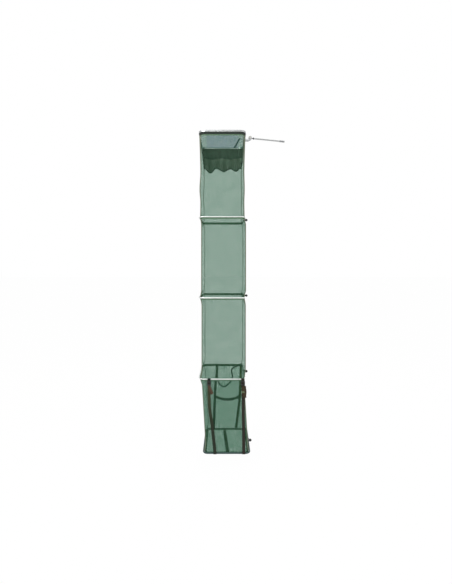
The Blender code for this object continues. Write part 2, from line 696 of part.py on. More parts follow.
def make_joiner(name, frame):
    """The plastic joiner over the tube's ends, with the lug that it carries outwards."""
    side = RING_HALF[0]
    half_long, half_tall = JOINER_LONG / 2, JOINER_TALL / 2
    joiner = cylinder(name, "Y", -half_long, half_long, JOINER_RADIUS, BLACK_PLASTIC, frame,
                      (side, 0.0), 16)
    shell = block("joiner_shell", (side + JOINER_START, -half_long + JOINER_BEVEL, -half_tall),
                  (side + JOINER_OUT, half_long - JOINER_BEVEL, half_tall), BLACK_PLASTIC, frame,
                  JOINER_BEVEL)
    combine(joiner, shell, "UNION")
    wall = (TUBE_RADIUS + GAP + JOINER_RADIUS) / 2
    lug = block("joiner_lug", (side + wall, -LUG_WIDE / 2, -LUG_THICK / 2),
                (side + LUG_REACH, LUG_WIDE / 2, LUG_THICK / 2), BLACK_PLASTIC, frame)
    combine(joiner, lug, "UNION")
    boss = LUG_THICK / 2 + JOINER_BEVEL
    end = cylinder("lug_end", "Z", -boss, boss, LUG_WIDE / 2 + JOINER_BEVEL, BLACK_PLASTIC, frame,
                   (side + LUG_REACH, 0.0), 16)
    combine(joiner, end, "UNION")
    reach = half_long + OVERRUN
    bore = cylinder("joiner_bore", "Y", -reach, reach, TUBE_RADIUS + GAP, BLACK_PLASTIC, frame,
                    (side, 0.0), 16)
    combine(joiner, bore, "DIFFERENCE")


def make_ring(name, frame):
    """A ring tube whose ends meet in its joiner."""
    path = opened(rounded_loop(RING_HALF, RING_TURN), RING_BUTT_GAP)
    tube(name + "_tube", at_height(path, 0.0), TUBE_RADIUS, SILVER, frame)
    make_joiner(name + "_joiner", frame)


def make_ring_tape(name, frame):
    """The tape sewn round the netting inside a ring, open where the joiner is."""
    path = opened(rounded_loop(RING_HALF, RING_TURN, TAPE_INSET), JOINER_LONG + 2 * GAP)
    rows = [at_height(path, RING_TAPE_ABOVE), at_height(path, -RING_TAPE_BELOW)]
    cloth(name, rows, RING_TAPE_THICK, TAPE_GREEN, frame)


def make_base():
    """The base ring in its sewn sleeve, the floor's binding, its netting and the strap below it."""
    rows = []
    for step in range(SLEEVE_STEPS + 1):
        angle = mix(SLEEVE_OPEN, 2 * math.pi - SLEEVE_OPEN, step / SLEEVE_STEPS)
        loop = rounded_loop(RING_HALF, RING_TURN, SLEEVE_RADIUS * math.cos(angle))
        path = opened(loop, JOINER_LONG + 2 * GAP)
        rows.append(at_height(path, SLEEVE_RADIUS * math.sin(angle)))
    cloth("base_sleeve", rows, SLEEVE_THICK, SLATE_GREEN, base_frame)

    inset = NET_INSET - NET_THICK / 2
    outline = bpy.data.curves.new("floor_binding", "CURVE")
    outline.dimensions = "2D"
    outline.fill_mode = "BOTH"
    outline.extrude = BINDING_THICK / 2
    for depth in (inset, inset + BINDING_WIDE):
        loop = rounded_loop(RING_HALF, RING_TURN, depth)
        edge = outline.splines.new("POLY")
        edge.points.add(len(loop) - 1)
        for knot, place in zip(edge.points, loop):
            knot.co = (*place, 0.0, 1.0)
        edge.use_cyclic_u = True
    binding = add("floor_binding", outline, TAPE_GREEN, base_frame)
    binding.location = (0.0, 0.0, -GAP - BINDING_THICK / 2)

    grid = bpy.data.meshes.new("floor_net")
    shape = bmesh.new()
    bmesh.ops.create_grid(shape, x_segments=FLOOR_GAPS_WIDE, y_segments=FLOOR_GAPS_DEEP, size=1.0)
    reach = inset + BINDING_WIDE - FLOOR_OVERLAP
    scale = Matrix.Diagonal((RING_HALF[0] - reach, RING_HALF[1] - reach, 1.0, 1.0))
    bmesh.ops.transform(shape, matrix=scale, verts=shape.verts)
    shape.to_mesh(grid)
    shape.free()
    floor = add("floor_net", grid, NET_GREEN, base_frame)
    floor.location = (0.0, 0.0, FLOOR_THREAD / 2)
    threads = floor.modifiers.new("threads", "WIREFRAME")
    threads.thickness = FLOOR_THREAD
    threads.use_even_offset = True
    threads.use_boundary = True

    under = -GAP - BINDING_THICK - GAP - STRAP_THICK / 2
    half = FLOOR_STRAP_WIDE / 2
    rows = []
    for side, share in ((1, FLOOR_FAR_SHARE), (-1, FLOOR_NEAR_SHARE)):
        place = share * RING_WIDTH / 2
        rows.append([(place - half, side * (RING_HALF[1] - inset), under),
                     (place + half, side * (RING_HALF[1] - inset), under)])
    cloth("floor_strap", rows, STRAP_THICK, OLIVE, base_frame)


def make_strap(name, shares, side, wide, material):
    """A webbing strap from over the fourth ring's tube down to the base ring's sleeve."""
    wrap = TUBE_RADIUS + GAP + STRAP_THICK / 2
    places = []
    across = shares[0][1] * RING_WIDTH / 2
    for step in range(STRAP_WRAP_STEPS + 1):
        angle = math.pi / 2 * (1 - step / STRAP_WRAP_STEPS)
        places.append((across, RING_HALF[1] + wrap * math.cos(angle), wrap * math.sin(angle)))
    places.append((strap_place(shares, STRAP_SETTLE_DROP), STRAP_Y, -STRAP_SETTLE_DROP))
    for down, share in shares[1:]:
        places.append((share * RING_WIDTH / 2, STRAP_Y, -down * LOW_SECTION))
    rows = [[(x - wide / 2, side * y, z), (x + wide / 2, side * y, z)] for x, y, z in places]
    cloth(name, rows, STRAP_THICK, material, ring_4_frame)


def strap_place(shares, drop):
    """Where a strap's middle is across, at a drop below the fourth ring."""
    return course(shares, drop / LOW_SECTION) * RING_WIDTH / 2


def make_buckles():
    """A buckle body on each near strap, and spare webbing folded up below the right one."""
    for name, shares in (("buckle_left", NEAR_LEFT_SHARES), ("buckle_right", NEAR_RIGHT_SHARES)):
        middle = strap_place(shares, BUCKLE_DROP)
        block(name, (middle - BUCKLE_WIDE / 2, -STRAP_FACE - BUCKLE_THICK, -BUCKLE_DROP - BUCKLE_TALL),
              (middle + BUCKLE_WIDE / 2, -STRAP_FACE, -BUCKLE_DROP), BLACK_PLASTIC, ring_4_frame,
              BUCKLE_BEVEL)

    middle = strap_place(NEAR_RIGHT_SHARES, FOLD_DROP)
    turn = FOLD_PITCH / 2
    low, high = -FOLD_DROP - FOLD_TALL + turn, -FOLD_DROP - turn
    places = []
    for layer in range(FOLD_LAYERS):
        depth = STRAP_FACE + STRAP_THICK / 2 + layer * FOLD_PITCH
        start, end, swing = (high, low, -1) if layer % 2 == 0 else (low, high, 1)
        places += [(depth, start), (depth, end)]
        if layer < FOLD_LAYERS - 1:
            for step in range(1, FOLD_TURN_STEPS):
                angle = math.pi * step / FOLD_TURN_STEPS
                places.append((depth + turn - turn * math.cos(angle), end + swing * turn * math.sin(angle)))
    half = NEAR_STRAP_WIDE / 2
    rows = [[(middle - half, -y, z), (middle + half, -y, z)] for y, z in places]
    cloth("folded_webbing", rows, STRAP_THICK, BROWN, ring_4_frame)


def make_handle():
    """The carrying handle slung between the far straps, and the padded grip wrapped round it."""
    left = strap_place(FAR_LEFT_SHARES, HANDLE_DROP)
    right = strap_place(FAR_RIGHT_SHARES, HANDLE_DROP)
    depth = STRAP_FACE + STRAP_THICK / 2

    def stretch(start, end):
        """Places along the sagging handle between two shares of it."""
        shares = [mix(start, end, step / HANDLE_STEPS) for step in range(HANDLE_STEPS + 1)]
        return [(mix(left, right, share), depth, -HANDLE_DROP - 4 * HANDLE_SAG * share * (1 - share))
                for share in shares]

    half = HANDLE_WIDE / 2
    places = stretch(0.0, GRIP_START_SHARE) + stretch(GRIP_START_SHARE, GRIP_END_SHARE)[1:-1]
    places += stretch(GRIP_END_SHARE, 1.0)
    rows = [[(x, y, z - half), (x, y, z + half)] for x, y, z in places]
    cloth("handle_strap", rows, STRAP_THICK, TAPE_GREEN, ring_4_frame)

    radius = half + GAP + GRIP_THICK / 2
    rows = []
    for step in range(GRIP_STEPS + 1):
        angle = mix(GRIP_OPEN, 2 * math.pi - GRIP_OPEN, step / GRIP_STEPS) - math.pi / 2
        rows.append([(x, y + radius * math.cos(angle), z + radius * math.sin(angle))
                     for x, y, z in stretch(GRIP_START_SHARE, GRIP_END_SHARE)])
    cloth("handle_grip", rows, GRIP_THICK, GRIP_GREEN, ring_4_frame)


def make_tie_cord():
    """The loose tie cord behind the net, between a knot on each far strap."""
    depth = STRAP_FACE + KNOT_RADIUS
    for name, shares in (("cord_knot_left", FAR_LEFT_SHARES), ("cord_knot_right", FAR_RIGHT_SHARES)):
        mesh = bpy.data.meshes.new(name)
        shape = bmesh.new()
        bmesh.ops.create_uvsphere(shape, u_segments=12, v_segments=8, radius=KNOT_RADIUS)
        shape.to_mesh(mesh)
        shape.free()
        knot = smooth(add(name, mesh, OLIVE, ring_4_frame), math.radians(60))
        knot.location = (strap_place(shares, KNOT_DROP), depth, -KNOT_DROP)
    route = [(x, depth, z) for x, z in TIE_CORD_ROUTE]
    tube("tie_cord", smooth_route(route, CORD_POINT_SPACING), CORD_RADIUS, OLIVE, ring_4_frame)


tube_start = NUT_START + NUT_LONG + GAP
make_rod_tube(tube_start, ROD_REACH - CAP_END - GAP)
make_end_cap()
make_neck(tube_start)
make_eye()
make_clamp()
make_saddle()
make_knob()
make_mouth()
make_skirt()

mouth_wall = (MOUTH_HALF, MOUTH_TURN)
ring_wall = ([size - NET_INSET for size in RING_HALF], RING_TURN - NET_INSET)
below_tape = RING_TAPE_BELOW + GAP
below_hem = GAP - HEM_BOTTOM
make_section(1, mouth_frame, TOP_SECTION, mouth_wall, below_hem, below_hem)
make_section(2, ring_2_frame, SECOND_SECTION, ring_wall, GAP / 2, below_tape)
make_section(3, ring_3_frame, THIRD_SECTION, ring_wall, GAP / 2, below_tape)
make_section(4, ring_4_frame, LOW_SECTION, ring_wall, GAP / 2, below_tape, BASE_SHIFT)
for number, frame in ((2, ring_2_frame), (3, ring_3_frame), (4, ring_4_frame)):
    make_ring(f"ring_{number}", frame)
    make_ring_tape(f"ring_{number}_tape", frame)
make_ring("base_ring", base_frame)
make_base()

make_strap("strap_near_left", NEAR_LEFT_SHARES, -1, NEAR_STRAP_WIDE, BROWN)
make_strap("strap_near_right", NEAR_RIGHT_SHARES, -1, NEAR_STRAP_WIDE, BROWN)
make_strap("strap_far_left", FAR_LEFT_SHARES, 1, FAR_STRAP_WIDE, OLIVE)
make_strap("strap_far_right", FAR_RIGHT_SHARES, 1, FAR_STRAP_WIDE, OLIVE)
make_buckles()
make_handle()
make_tie_cord()
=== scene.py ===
"""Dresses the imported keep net: netting, tapes, skirt, straps, handle, cord, metal and plastic finishes."""
import json
import math
from collections import namedtuple

import bpy
from mathutils import Matrix, Vector


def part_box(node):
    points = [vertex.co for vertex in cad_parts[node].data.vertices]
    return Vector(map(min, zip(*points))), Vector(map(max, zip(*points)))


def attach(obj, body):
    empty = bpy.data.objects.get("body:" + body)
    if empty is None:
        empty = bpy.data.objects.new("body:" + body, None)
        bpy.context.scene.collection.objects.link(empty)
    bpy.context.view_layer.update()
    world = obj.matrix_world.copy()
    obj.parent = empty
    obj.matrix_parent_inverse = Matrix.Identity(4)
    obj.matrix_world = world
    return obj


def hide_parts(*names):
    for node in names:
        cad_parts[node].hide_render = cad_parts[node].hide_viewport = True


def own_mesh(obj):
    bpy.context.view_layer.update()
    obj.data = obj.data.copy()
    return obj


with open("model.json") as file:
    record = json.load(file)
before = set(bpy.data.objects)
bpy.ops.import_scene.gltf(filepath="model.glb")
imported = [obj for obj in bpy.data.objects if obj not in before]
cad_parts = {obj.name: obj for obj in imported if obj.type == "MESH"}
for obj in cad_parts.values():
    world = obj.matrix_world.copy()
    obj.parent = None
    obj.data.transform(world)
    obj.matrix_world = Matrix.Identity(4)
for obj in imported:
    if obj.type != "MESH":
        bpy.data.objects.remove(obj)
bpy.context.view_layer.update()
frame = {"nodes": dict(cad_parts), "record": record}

# Sizes in metres. Those of the frame are as the CAD has them
GAP = 0.0003
MOUTH_WIDTH, MOUTH_DEPTH, MOUTH_CORNER = 0.372, 0.412, 0.052
CHANNEL_WIDTH, CHANNEL_HEIGHT, CHANNEL_WALL = 0.011, 0.0135, 0.0016
RING_WIDTH, RING_DEPTH, RING_CORNER = 0.368, 0.409, 0.037
TUBE_RADIUS = 0.0045
TOP_SECTION, SECOND_SECTION, THIRD_SECTION, LOW_SECTION = 0.666, 0.629, 0.630, 0.574
BASE_SHIFT = 0.033
NET_THICK = 0.0006
NET_DRAW_IN = 0.004
TAPE_ABOVE, TAPE_BELOW, TAPE_THICK = 0.004, 0.008, 0.0012
CORNER_TAPE_THICK, CORNER_TAPE_LIFT = 0.0008, 0.0006
BAND_TALL = 0.007
HEM_THICK, HEM_TALL = 0.003, 0.020
SKIRT_TOP, SKIRT_SEAM, SKIRT_HEM = 0.012, 0.092, 0.196
GUARD_TOP, GUARD_BOTTOM = 0.0275, 0.128
SLEEVE_THICK = 0.0009
BINDING_WIDE, BINDING_THICK, BINDING_LAP = 0.016, 0.0012, 0.006
JOINER_LONG = 0.040
STRAP_THICK = 0.0016
STRAP_SETTLE = 0.008
LOOSE_WIDE, LOOSE_THICK = 0.0225, 0.0014
BUCKLE_WIDE, BUCKLE_TALL, BUCKLE_DROP = 0.032, 0.034, 0.010
HANDLE_DROP, HANDLE_SAG = 0.288, 0.030
KNOT_DROP = 0.010
CORD_RADIUS, CORD_POINT_SPACING = 0.0060, 0.024
PIVOT_OUT, PIVOT_RISE = 0.043, 0.0158
ROD_REACH, ROD_SLOPE = 0.288, math.radians(5.7)

PIVOT = Vector((-ROD_REACH * math.cos(ROD_SLOPE), 0.0, ROD_REACH * math.sin(ROD_SLOPE)))
NET_X = PIVOT.x - PIVOT_OUT - MOUTH_WIDTH / 2
MOUTH_Z = PIVOT.z - PIVOT_RISE
RING_2_Z = MOUTH_Z - TOP_SECTION
RING_3_Z = RING_2_Z - SECOND_SECTION
RING_4_Z = RING_3_Z - THIRD_SECTION
BASE_Z = RING_4_Z - LOW_SECTION
BASE_X = NET_X + BASE_SHIFT
RING_HALF = (RING_WIDTH / 2 - TUBE_RADIUS, RING_DEPTH / 2 - TUBE_RADIUS)
# The middle lines of the mouth's channel and of a ring's tube: half sizes and corner radius
MOUTH_LOOP = ((MOUTH_WIDTH / 2 - CHANNEL_WIDTH / 2, MOUTH_DEPTH / 2 - CHANNEL_WIDTH / 2),
              MOUTH_CORNER - CHANNEL_WIDTH / 2)
RING_LOOP = (RING_HALF, RING_CORNER - TUBE_RADIUS)
JOINER_GAP = JOINER_LONG + 2 * GAP
TAPE_INSET = TUBE_RADIUS + GAP + TAPE_THICK / 2
NET_INSET = TAPE_INSET + TAPE_THICK / 2 + GAP + NET_THICK / 2
CORNER_TAPE_OUT = NET_THICK / 2 + GAP + CORNER_TAPE_THICK / 2
HEM_BOTTOM = -CHANNEL_HEIGHT / 2 - HEM_TALL
SLEEVE_RADIUS = TUBE_RADIUS + GAP + SLEEVE_THICK / 2
SLEEVE_OUTER = SLEEVE_RADIUS + SLEEVE_THICK / 2
STRAP_Y = RING_HALF[1] + SLEEVE_OUTER + GAP + STRAP_THICK / 2
STRAP_FACE = STRAP_Y + STRAP_THICK / 2 + GAP

# Camera: level, looking along +Y, with the horizon above the picture's middle
CAMERA_PLACE = (-0.495, -2.88, -1.019)
CAMERA_LENS, SENSOR_WIDTH = 21.3, 36.0
CAMERA_SHIFT = (0.0017, -0.048)

scene = bpy.context.scene
scene.view_settings.view_transform = "Standard"
dressing = bpy.data.collections.new("dressing")
scene.collection.children.link(dressing)

camera = bpy.data.objects.new("camera", bpy.data.cameras.new("camera"))
camera.location = CAMERA_PLACE
camera.rotation_euler = (math.pi / 2, 0.0, 0.0)
camera.data.lens = CAMERA_LENS
camera.data.sensor_width = SENSOR_WIDTH
camera.data.sensor_fit = "AUTO"
camera.data.shift_x, camera.data.shift_y = CAMERA_SHIFT
camera.data.clip_start = 0.01
scene.collection.objects.link(camera)
scene.camera = camera


# Node helpers
def shade(color, factor):
    return tuple(channel * factor for channel in color)


class Nodes:
    """A node tree, with short calls for its nodes."""

    def __init__(self, tree):
        self.tree = tree

    def put(self, socket, value):
        """Links another node's output to a socket, or sets the socket's number or colour."""
        if isinstance(value, bpy.types.NodeSocket):
            self.tree.links.new(value, socket)
        elif socket.type == "RGBA":
            socket.default_value = (*value, 1.0)
        else:
            socket.default_value = value

    def node(self, kind, inputs=(), **settings):
        made = self.tree.nodes.new("ShaderNode" + kind)
        for key, value in settings.items():
            setattr(made, key, value)
        for key, value in dict(inputs).items():
            self.put(made.inputs[key], value)
        return made

    def math(self, operation, *values):
        return self.node("Math", enumerate(values), operation=operation).outputs[0]

    def times(self, first, second):
        return self.math("MULTIPLY", first, second)

    def wave(self, distance, length):
        """A sine wave of that length."""
        return self.math("SINE", self.times(distance, 2 * math.pi / length))

    def noise(self, place, scale, detail=2.0, rough=0.5):
        made = self.node("TexNoise", {"Vector": place, "Scale": scale, "Detail": detail, "Roughness": rough})
        return made.outputs["Fac"]

    def range(self, value, low, high, to_low=0.0, to_high=1.0):
        made = self.node("MapRange", {"Value": value, "From Min": low, "From Max": high,
                                      "To Min": to_low, "To Max": to_high})
        return made.outputs[0]

    def colors(self, share, first, second):
        return self.node("Mix", {0: share, 6: first, 7: second}, data_type="RGBA").outputs[2]

    def mottle(self, value, low, color, darker, lighter):
        """A colour that goes from darker to lighter with a noise."""
        return self.colors(self.range(value, low, 0.7), shade(color, darker), shade(color, lighter))

    def shown(self):
        """1 where the camera looks, also off metal and through holes."""
        rays = self.node("LightPath").outputs
        near = self.math("MAXIMUM", rays["Is Camera Ray"], rays["Is Glossy Ray"])
        return self.math("MAXIMUM", near, rays["Is Transmission Ray"])


class Shader(Nodes):
    """A material's nodes, around its Principled BSDF."""

    def __init__(self, name):
        self.material = bpy.data.materials.new(name)
        self.material.use_nodes = True
        super().__init__(self.material.node_tree)
        self.main = self.tree.nodes["Principled BSDF"]

    def cloth_place(self):
        """The cloth's own coordinates, in metres: both, along and across."""
        place = self.node("UVMap", uv_map="cloth").outputs[0]
        split = self.node("SeparateXYZ", {"Vector": place}).outputs
        return place, split[0], split[1]

    def object_place(self):
        return self.node("TexCoord").outputs["Object"]

    def bump(self, height, strength, distance):
        made = self.node("Bump", {"Height": height, "Strength": strength, "Distance": distance})
        self.put(self.main.inputs["Normal"], made.outputs[0])

    def surface(self, mixed):
        self.put(self.tree.nodes["Material Output"].inputs["Surface"], mixed.outputs[0])

    def finish(self, color, roughness, metallic=0.0, specular=0.5, sheen=0.0):
        for name, value in (("Base Color", color), ("Roughness", roughness), ("Metallic", metallic),
                            ("Specular IOR Level", specular), ("Sheen Weight", sheen)):
            self.put(self.main.inputs[name], value)
        return self.material


# The share of each hole in the netting that stray fibres and the weave's thickness fill
HAZE = 0.24


def netting(name, color, tint, body, pitch, thread_share, uneven=0.14, side=None, gathers=None):
    """Knotless mesh: threads on the bias with open holes, a little crowded and warped in places.

    A thread lets some light through, tinted; body is the share that it keeps. side gives the
    (reach, colour, share) of its outer parts, and gathers the (distance, depth) of its gathers,
    between which it is thinner."""
    s = Shader(name)
    place, u, v = s.cloth_place()
    crowd = s.noise(place, 17.0, 3.0, 0.55)
    share = thread_share
    light = s.colors(s.noise(place, 9.0), shade(color, 0.88), shade(color, 1.12))
    if side is not None:
        reach, side_color, side_share = side
        outer = s.range(s.math("ABSOLUTE", u), reach - 0.006, reach + 0.006)
        share = s.range(outer, 0.0, 1.0, thread_share, side_share)
        light = s.colors(outer, light, side_color)
    if gathers is not None:
        apart, depth = gathers
        shifted = s.math("MULTIPLY_ADD", s.noise(place, 12.0, 1.0), 7.0, s.times(u, 2 * math.pi / apart))
        share = s.range(s.math("SINE", shifted), -1.0, 1.0, thread_share, thread_share * (1 - depth))
    half = s.times(s.range(crowd, 0.3, 0.7, 0.5 - uneven / 2, 0.5 + uneven / 2), share)
    warp, drift = (s.times(s.math("SUBTRACT", s.noise(place, scale, 1.0), 0.5), 1.6 * pitch)
                   for scale in (8.0, 7.0))
    along, down = s.math("ADD", u, warp), s.math("SUBTRACT", v, drift)
    step = pitch * math.sqrt(2)
    first, second = (s.math("PINGPONG", s.math("DIVIDE", s.math(way, along, down), step), 0.5)
                     for way in ("ADD", "SUBTRACT"))
    thread = s.math("LESS_THAN", s.math("MINIMUM", first, second), half)
    crossing = s.math("LESS_THAN", s.math("MAXIMUM", first, second), half)
    light = s.colors(s.times(crossing, 0.3), light, shade(color, 0.6))
    # The haze is taken from the threads, so the mean cover stays; 1.0001 keeps the divisor above zero
    filled = 1 - (1 - thread_share) ** 2
    cover = s.math("MULTIPLY_ADD", thread, 1 - HAZE / filled, HAZE)
    kept = s.math("MULTIPLY_ADD", cover, -body, 1.0001)
    tinted = s.math("DIVIDE", s.times(cover, 1 - body), kept)
    hole = s.node("BsdfTransparent", {"Color": s.colors(tinted, (1.0, 1.0, 1.0), tint)})
    s.surface(s.node("MixShader", {0: s.times(cover, body), 1: hole.outputs[0], 2: s.main.outputs[0]}))
    return s.finish(light, 0.75, specular=0.25)


def webbing(name, color, rib=0.0017, half_wide=0.012, stitch=0.0, stitch_color=None, fade=None):
    """Woven webbing: chevron ribs with painted shade between them, a selvedge along both edges, worn patches
    and rows of stitches.

    fade gives another colour, and the two places along the webbing between which it comes in."""
    s = Shader(name)
    place, u, v = s.cloth_place()
    side = s.math("ABSOLUTE", v)
    ribs = s.wave(s.math("ADD", u, side), rib)
    height = s.math("MULTIPLY_ADD", s.wave(v, rib * 1.4), 0.4, ribs)
    worn = s.noise(place, 45.0, 4.0, 0.6)
    base = s.mottle(worn, 0.3, color, 0.72, 1.35)
    if fade is not None:
        other_color, start, end = fade
        base = s.colors(s.range(u, start, end), base, other_color)
    # Painted shade: the weave's low places, between the ribs, are darker
    light = s.colors(s.range(height, -1.4, 1.4), shade(color, 0.55), base)
    edge = s.math("GREATER_THAN", side, half_wide - 0.0016)
    light = s.colors(s.times(edge, 0.55), light, shade(color, 0.5))
    if stitch:
        row = s.math("LESS_THAN", s.math("ABSOLUTE", s.math("SUBTRACT", side, stitch)), 0.0005)
        dash = s.math("LESS_THAN", s.math("PINGPONG", s.math("DIVIDE", u, 0.0042), 0.5), 0.31)
        seam = s.times(row, dash)
        light = s.colors(seam, light, stitch_color or shade(color, 2.6))
        height = s.math("MULTIPLY_ADD", seam, 2.2, height)
    s.bump(height, 0.6, 0.00025)
    return s.finish(light, s.range(worn, 0.3, 0.7, 0.72, 0.9), specular=0.2, sheen=0.08)


def plain_cloth(name, color, weave=0.0011):
    """Plain-woven cloth with uneven dye and a fine thread pattern, with painted shade in the weave's low
    places.
    """
    s = Shader(name)
    place, u, v = s.cloth_place()
    height = s.times(s.wave(u, weave), s.wave(v, weave))
    dye = s.noise(place, 14.0, 4.0, 0.6)
    base = s.mottle(dye, 0.3, color, 0.85, 1.3)
    # Painted shade: the weave's low places are darker
    light = s.colors(s.range(height, -1.0, 1.0), shade(color, 0.7), base)
    s.bump(height, 0.5, 0.0002)
    return s.finish(light, s.range(dye, 0.3, 0.7, 0.75, 0.92), specular=0.25, sheen=0.25)


def metal(name, color, roughness, grain=(900.0, 900.0, 900.0), depth=0.15):
    """Bare or anodised metal with a fine drawn or cast grain and handling marks."""
    s = Shader(name)
    place = s.object_place()
    stretched = s.node("VectorMath", {0: place, 1: grain}, operation="MULTIPLY").outputs[0]
    drawn = s.noise(stretched, 1.0, 3.0, 0.6)
    marks = s.noise(place, 60.0, 5.0, 0.65)
    worn = s.range(marks, 0.35, 0.7, roughness - 0.08, roughness + 0.10)
    rough = s.math("MULTIPLY_ADD", drawn, 0.12, worn)
    s.bump(drawn, depth, 0.0001)
    return s.finish(s.mottle(marks, 0.35, color, 0.93, 1.04), rough, metallic=1.0)


def plastic(name, color, roughness):
    """Moulded plastic with a fine spark-eroded grain and slightly polished high spots."""
    s = Shader(name)
    place = s.object_place()
    wear = s.noise(place, 90.0, 4.0, 0.6)
    s.bump(s.noise(place, 1400.0), 0.2, 0.0001)
    return s.finish(s.mottle(wear, 0.35, color, 0.85, 1.25),
                    s.range(wear, 0.35, 0.7, roughness - 0.06, roughness + 0.08))


FINISHES = {
    "silver_aluminium": metal("silver_aluminium", (0.80, 0.81, 0.80), 0.30),
    "die_cast_silver": metal("die_cast_silver", (0.50, 0.51, 0.52), 0.38, (700.0, 700.0, 700.0), 0.35),
    "dark_steel": metal("dark_steel", (0.10, 0.10, 0.11), 0.36),
    "knob_grey": plastic("knob_grey", (0.40, 0.39, 0.37), 0.42),
    "black_plastic": plastic("black_plastic", (0.010, 0.011, 0.012), 0.42),
    "grey_plastic": plastic("grey_plastic", (0.20, 0.205, 0.21), 0.48),
}
BLACK = FINISHES["black_plastic"]
THREAD_LOOKS = ((0.043, 0.112, 0.066), (0.115, 0.375, 0.245), 0.5, 0.0022)
NET = netting("green_netting", *THREAD_LOOKS, 0.325)
LOW_NET = netting("low_netting", *THREAD_LOOKS, 0.46)
FLOOR_NET = netting("floor_netting", *THREAD_LOOKS, 0.44)
GUARD = netting("guard_mesh", (0.12, 0.20, 0.31), (0.3, 0.4, 0.5), 0.92, 0.0018, 0.47, 0.10,
                (0.122, (0.09, 0.23, 0.20), 0.36))
BAND = netting("skirt_mesh", (0.014, 0.020, 0.011), (0.0, 0.0, 0.0), 1.0, 0.0014, 0.86, 0.08)
RUFFLE = netting("ruffle_mesh", (0.070, 0.086, 0.058), (0.0, 0.0, 0.0), 1.0, 0.0014, 0.90, 0.10,
                 gathers=(0.082, 0.26))
TAPE = webbing("binding_tape", (0.130, 0.235, 0.140), 0.0011, 0.0068, 0.0052)
# The far corner tapes: the same tape as at the near corners, in a lighter green as painted light to lift
# their shade
SEAM_TAPE = webbing("seam_tape", (0.210, 0.300, 0.170), 0.0011, 0.0024, 0.0013, (0.12, 0.18, 0.09))
EDGE_TAPE = webbing("edge_tape", (0.145, 0.185, 0.120), 0.0011, 0.0090, 0.0075, (0.16, 0.20, 0.12))
# Section 1's far corner tapes: the same lighter green as painted light, with painted shade that makes them
# near-black from their top to 0.13 m below the mouth, behind the skirt, easing back by 0.19 m
TOP_SEAM_TAPE = webbing("mouth_seam_tape", (0.190, 0.270, 0.130), 0.0011, 0.0024, 0.0013,
                        (0.05, 0.08, 0.05), ((0.014, 0.026, 0.018), -0.19, -0.13))
HEM = webbing("black_hem", (0.031, 0.043, 0.035), 0.0014, 0.010, 0.0075, (0.12, 0.14, 0.12))
OLIVE = webbing("olive_webbing", (0.195, 0.230, 0.070), 0.0016, 0.011,
                fade=((0.090, 0.110, 0.020), 0.20, 0.34))
MOSS = webbing("moss_webbing", (0.110, 0.125, 0.025), 0.0016, 0.011)
BROWN = webbing("brown_webbing", (0.042, 0.050, 0.022), fade=((0.006, 0.014, 0.011), 0.10, 0.38))
DARK_BROWN = webbing("dark_brown_webbing", (0.024, 0.020, 0.014))
LOOP_BLACK = webbing("black_webbing", (0.006, 0.009, 0.009))
SKIRT_TAPE = webbing("skirt_binding", (0.007, 0.013, 0.007), 0.0011, 0.005, 0.003)
MAROON = webbing("tail_webbing", (0.085, 0.052, 0.032))
SPARE = webbing("spare_webbing", (0.048, 0.034, 0.017))
DARK_GREEN = webbing("green_webbing", (0.120, 0.170, 0.095), 0.0015, 0.011, 0.008, (0.17, 0.23, 0.14),
                     ((0.195, 0.230, 0.080), 0.07, 0.02))
NAVY = webbing("navy_binding", (0.020, 0.045, 0.070), 0.0010, 0.003)
SLANT = webbing("blue_binding", (0.050, 0.085, 0.110), 0.0010, 0.0060, 0.0046, (0.10, 0.15, 0.18))
PALE = webbing("pale_binding", (0.30, 0.40, 0.37), 0.0010, 0.0025)
CORD = webbing("cord_braid", (0.008, 0.022, 0.012), 0.0030, 1.0)
SLATE = plain_cloth("slate_sleeve", (0.038, 0.078, 0.073))
GRIP = plain_cloth("grip_cloth", (0.120, 0.130, 0.122), 0.0016)
THREAD = plain_cloth("green_thread", (0.040, 0.085, 0.045), 0.0006)

for entry in frame["record"]["subparts"]:
    if entry["material_slot"] in FINISHES:
        materials = frame["nodes"][entry["node"]].data.materials
        materials.clear()
        materials.append(FINISHES[entry["material_slot"]])
frame["nodes"]["rod_tube"].data.materials[0] = metal("drawn_aluminium", (0.42, 0.43, 0.43), 0.30,
                                                     (40.0, 1600.0, 1600.0), 0.2)
frame["nodes"]["mouth_ring"].data.materials[0] = metal("channel_aluminium", (0.38, 0.39, 0.39), 0.34)

# Mesh helpers
RIGHT, UP = (1.0, 0.0, 0.0), (0.0, 0.0, 1.0)
CORNERS = ((1, 1), (-1, 1), (-1, -1), (1, -1))


def dress(name, mesh, material, body, slot, replaces=None, creases=None):
    """A piece of the dressing: its finish, the body that it rides on and the node that it replaces.

    creases is the angle, in degrees, above which its edges are sharp."""
    mesh.materials.clear()
    mesh.materials.append(material)
    mesh.shade_smooth()
    if creases is not None:
        mesh.set_sharp_from_angle(angle=math.radians(creases))
    obj = bpy.data.objects.new(name, mesh)
    dressing.objects.link(obj)
    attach(obj, body)
    if replaces is not None:
        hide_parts(replaces)
    return obj


def piece(name, shape, *looks, **more):
    """A piece from points, faces and the cloth's own coordinates at each face corner."""
    verts, faces, uvs = shape
    mesh = bpy.data.meshes.new(name)
    mesh.from_pydata([tuple(vert) for vert in verts], [], faces)
    layer = mesh.uv_layers.new(name="cloth")
    layer.uv.foreach_set("vector", [value for face in uvs for corner in face for value in corner])
    mesh.update()
    return dress(name, mesh, *looks, **more)


def fold(obj, joint):
    """Gives a hanging piece its own copy of its mesh; the joint is not used."""
    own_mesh(obj)


